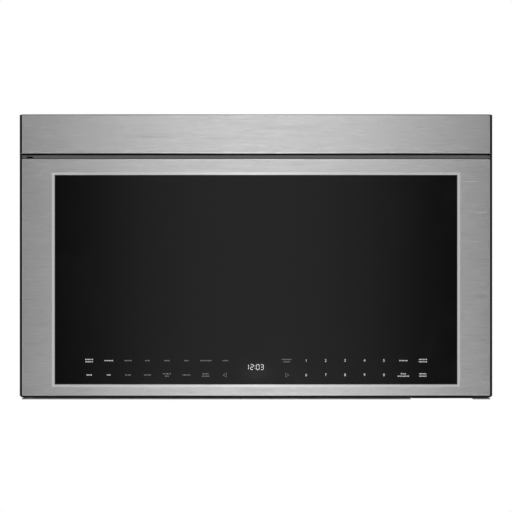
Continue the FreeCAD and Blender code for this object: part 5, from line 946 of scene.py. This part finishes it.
white_print = print_finish("white_print", 0.74, 0.92)
grey_print = print_finish("grey_print", 0.2, 0.28)
joined(bright, "bright_legends", white_print, "door")
joined(dim, "dim_legends", grey_print, "door")
joined(numbers, "number_legends", white_print, "door")


# Clock: seven-segment figures that shine white through the glass, with a colon between the hours and
# the minutes. Each segment is a long diamond of light from the display behind.
FIGURE_HEIGHT, FIGURE_WIDTH, SEGMENT, SEGMENT_GAP = 0.0081, 0.0046, 0.001, 0.0006
CLOCK_HEIGHT, FIGURE_PLACES = 0.0518, (-0.0143, -0.0066, 0.0029, 0.0096)
COLON_PLACE, COLON_RISE, COLON_SHARE = -0.0018, 0.0019, 0.32
LIT = {"0": "abcdef", "1": "bc", "2": "abged", "3": "abgcd"}
wide, tall = FIGURE_WIDTH / 2, FIGURE_HEIGHT / 2
SPOTS = {"a": (0, tall, 0), "g": (0, 0, 0), "d": (0, -tall, 0), "b": (wide, tall / 2, 1),
         "c": (wide, -tall / 2, 1), "e": (-wide, -tall / 2, 1), "f": (-wide, tall / 2, 1)}

segment = start(bpy.ops.mesh.primitive_circle_add, vertices=4, radius=SEGMENT / 2, fill_type="NGON",
                rotation=UPRIGHT)
bpy.ops.transform.resize(value=(1 + (wide - SEGMENT_GAP) / (SEGMENT / 2), 1, 1))
pulled(0, -PRINT_DEPTH, 0)
turned_out()
close(segment, "clock_segment")
lights = []
for figure, across in zip("1203", FIGURE_PLACES):
    for name in LIT[figure]:
        aside, up, upright = SPOTS[name]
        lights.append(copied(segment, (across + aside, GLASS_FACE, CLOCK_HEIGHT + up),
                             (0, upright * math.pi / 2, 0)))
for up in (-COLON_RISE, COLON_RISE):
    lights.append(copied(segment, (COLON_PLACE, GLASS_FACE, CLOCK_HEIGHT + up), scale=(COLON_SHARE, 1, 1)))
bpy.data.objects.remove(segment)

place = new_finish("clock_light")
cells = grain(place, 900, 1)
clock_light = coat_of(
    place,
    Base_Color=mixed(cells, grey(0.5), grey(0.7)),
    Roughness=0.3 + 0.1 * cells,
    Emission_Color=mixed(cells, (0.8, 0.86, 0.9, 1), (1, 1, 1, 1)),
    Emission_Strength=0.75)
joined(lights, "clock_figures", clock_light, "door")


# Floor: a plain pale studio floor, well below the oven, which hangs on its wall plate. It is white to the
# camera, keeps the oven's soft shadow and fades out before its edge; from below it can be looked through.
FLOOR_SIZE, FLOOR_LEVEL, FLOOR_FIRM, FLOOR_GONE = 6, -0.9, 0.5, 1.8
POOL_WIDTH, POOL_LIFT, WHITE_LIFT = 0.16, 0.5, 0.32
bpy.ops.object.select_all(action="DESELECT")
bpy.ops.mesh.primitive_plane_add(size=FLOOR_SIZE, location=(0, 0, FLOOR_LEVEL))
floor = bpy.context.object
floor.name = "studio_floor"


def ray_kinds(place, *names):
    """1 for light rays of each named kind, 0 for others."""
    return [place.node("LightPath", {}, {}, f"Is {name} Ray") for name in names]


place = new_finish("pale_floor")
paint = place.node("BsdfDiffuse", {}, {"Color": mixed(grain(place, 3, 3), grey(0.68), grey(0.72))})
from_camera, from_gloss, passed_on = ray_kinds(place, "Camera", "Glossy", "Transmission")
aside = axes(place, "X")[0]
# Painted light: a pool of light down the middle of the floor, seen only in reflections.
painted_light_pool = place.maths("EXPONENT", 0 - (aside / POOL_WIDTH) ** 2)
seen = WHITE_LIFT * place.maths("MAXIMUM", from_camera, passed_on) + POOL_LIFT * from_gloss * painted_light_pool
lift = place.node("Emission", {}, {"Color": grey(1), "Strength": seen})
both = place.node("AddShader", {}, {0: paint, 1: lift})
under = place.node("NewGeometry", {}, {}, "Backfacing")
distance = place.node("VectorMath", {"operation": "LENGTH"}, {0: place}, "Value")
clear = place.maths("MAXIMUM", under, between(distance, FLOOR_FIRM, FLOOR_GONE))
through = place.node("BsdfTransparent", {}, {})
floor.data.materials.append(closed(place, place.node("MixShader", {}, {0: clear, 1: both, 2: through})))


# Studio: a white surround behind the oven, a soft upright light band in front of it that fades to the
# sides, and a broad soft lamp above the camera. Only reflections see the band; the rest sees plain light.
BAND_WIDTH, BAND_LEVEL, BEYOND_LEVEL, OVERHEAD_CUT = 0.103, 0.46, 2.3, 0.55
DARK_LEVEL, SIDE_LEVEL, POLE_LEVEL, PLAIN_LEVEL = 0.01, 0.66, 0.12, 0.75
LAMP_PLACE, LAMP_TILT, LAMP_SIZE, LAMP_POWER = (0, -2.0, 2.0), 48, 1.6, 16
world = bpy.data.worlds.new("studio")
world.use_nodes = True
world.node_tree.nodes.clear()
bpy.context.scene.world = world
way = Tone(world.node_tree, None).node("TexCoord", {}, {}, "Generated")
across, along, up = axes(way, "XYZ")
aside, tilted = abs(across), abs(up)
band = way.maths("EXPONENT", 0 - (aside / BAND_WIDTH) ** 3)
beyond = between(tilted, 0.09, 0.22) - OVERHEAD_CUT * between(up, 0.5, 0.85)
front = (DARK_LEVEL + band * (BAND_LEVEL + BEYOND_LEVEL * beyond)
         + SIDE_LEVEL * between(aside, 0.27, 0.5) + POLE_LEVEL * between(tilted, 0.6, 0.9))
behind = between(along, 0.1, 0.5)
studio = front * (1 - behind) + behind
from_camera, from_gloss, passed_on = ray_kinds(way, "Camera", "Glossy", "Transmission")
white_rays = way.maths("MAXIMUM", from_camera, passed_on)
level = white_rays + (1 - white_rays) * (from_gloss * studio + (1 - from_gloss) * PLAIN_LEVEL)
light = way.node("Background", {}, {"Color": (1, 1, 1, 1), "Strength": level})
way.node("OutputWorld", {}, {"Surface": light})

bpy.ops.object.light_add(type="AREA", location=LAMP_PLACE, rotation=(math.radians(LAMP_TILT), 0, 0))
lamp = bpy.context.object
lamp.data.size = LAMP_SIZE
lamp.data.energy = LAMP_POWER
lamp.visible_glossy = False
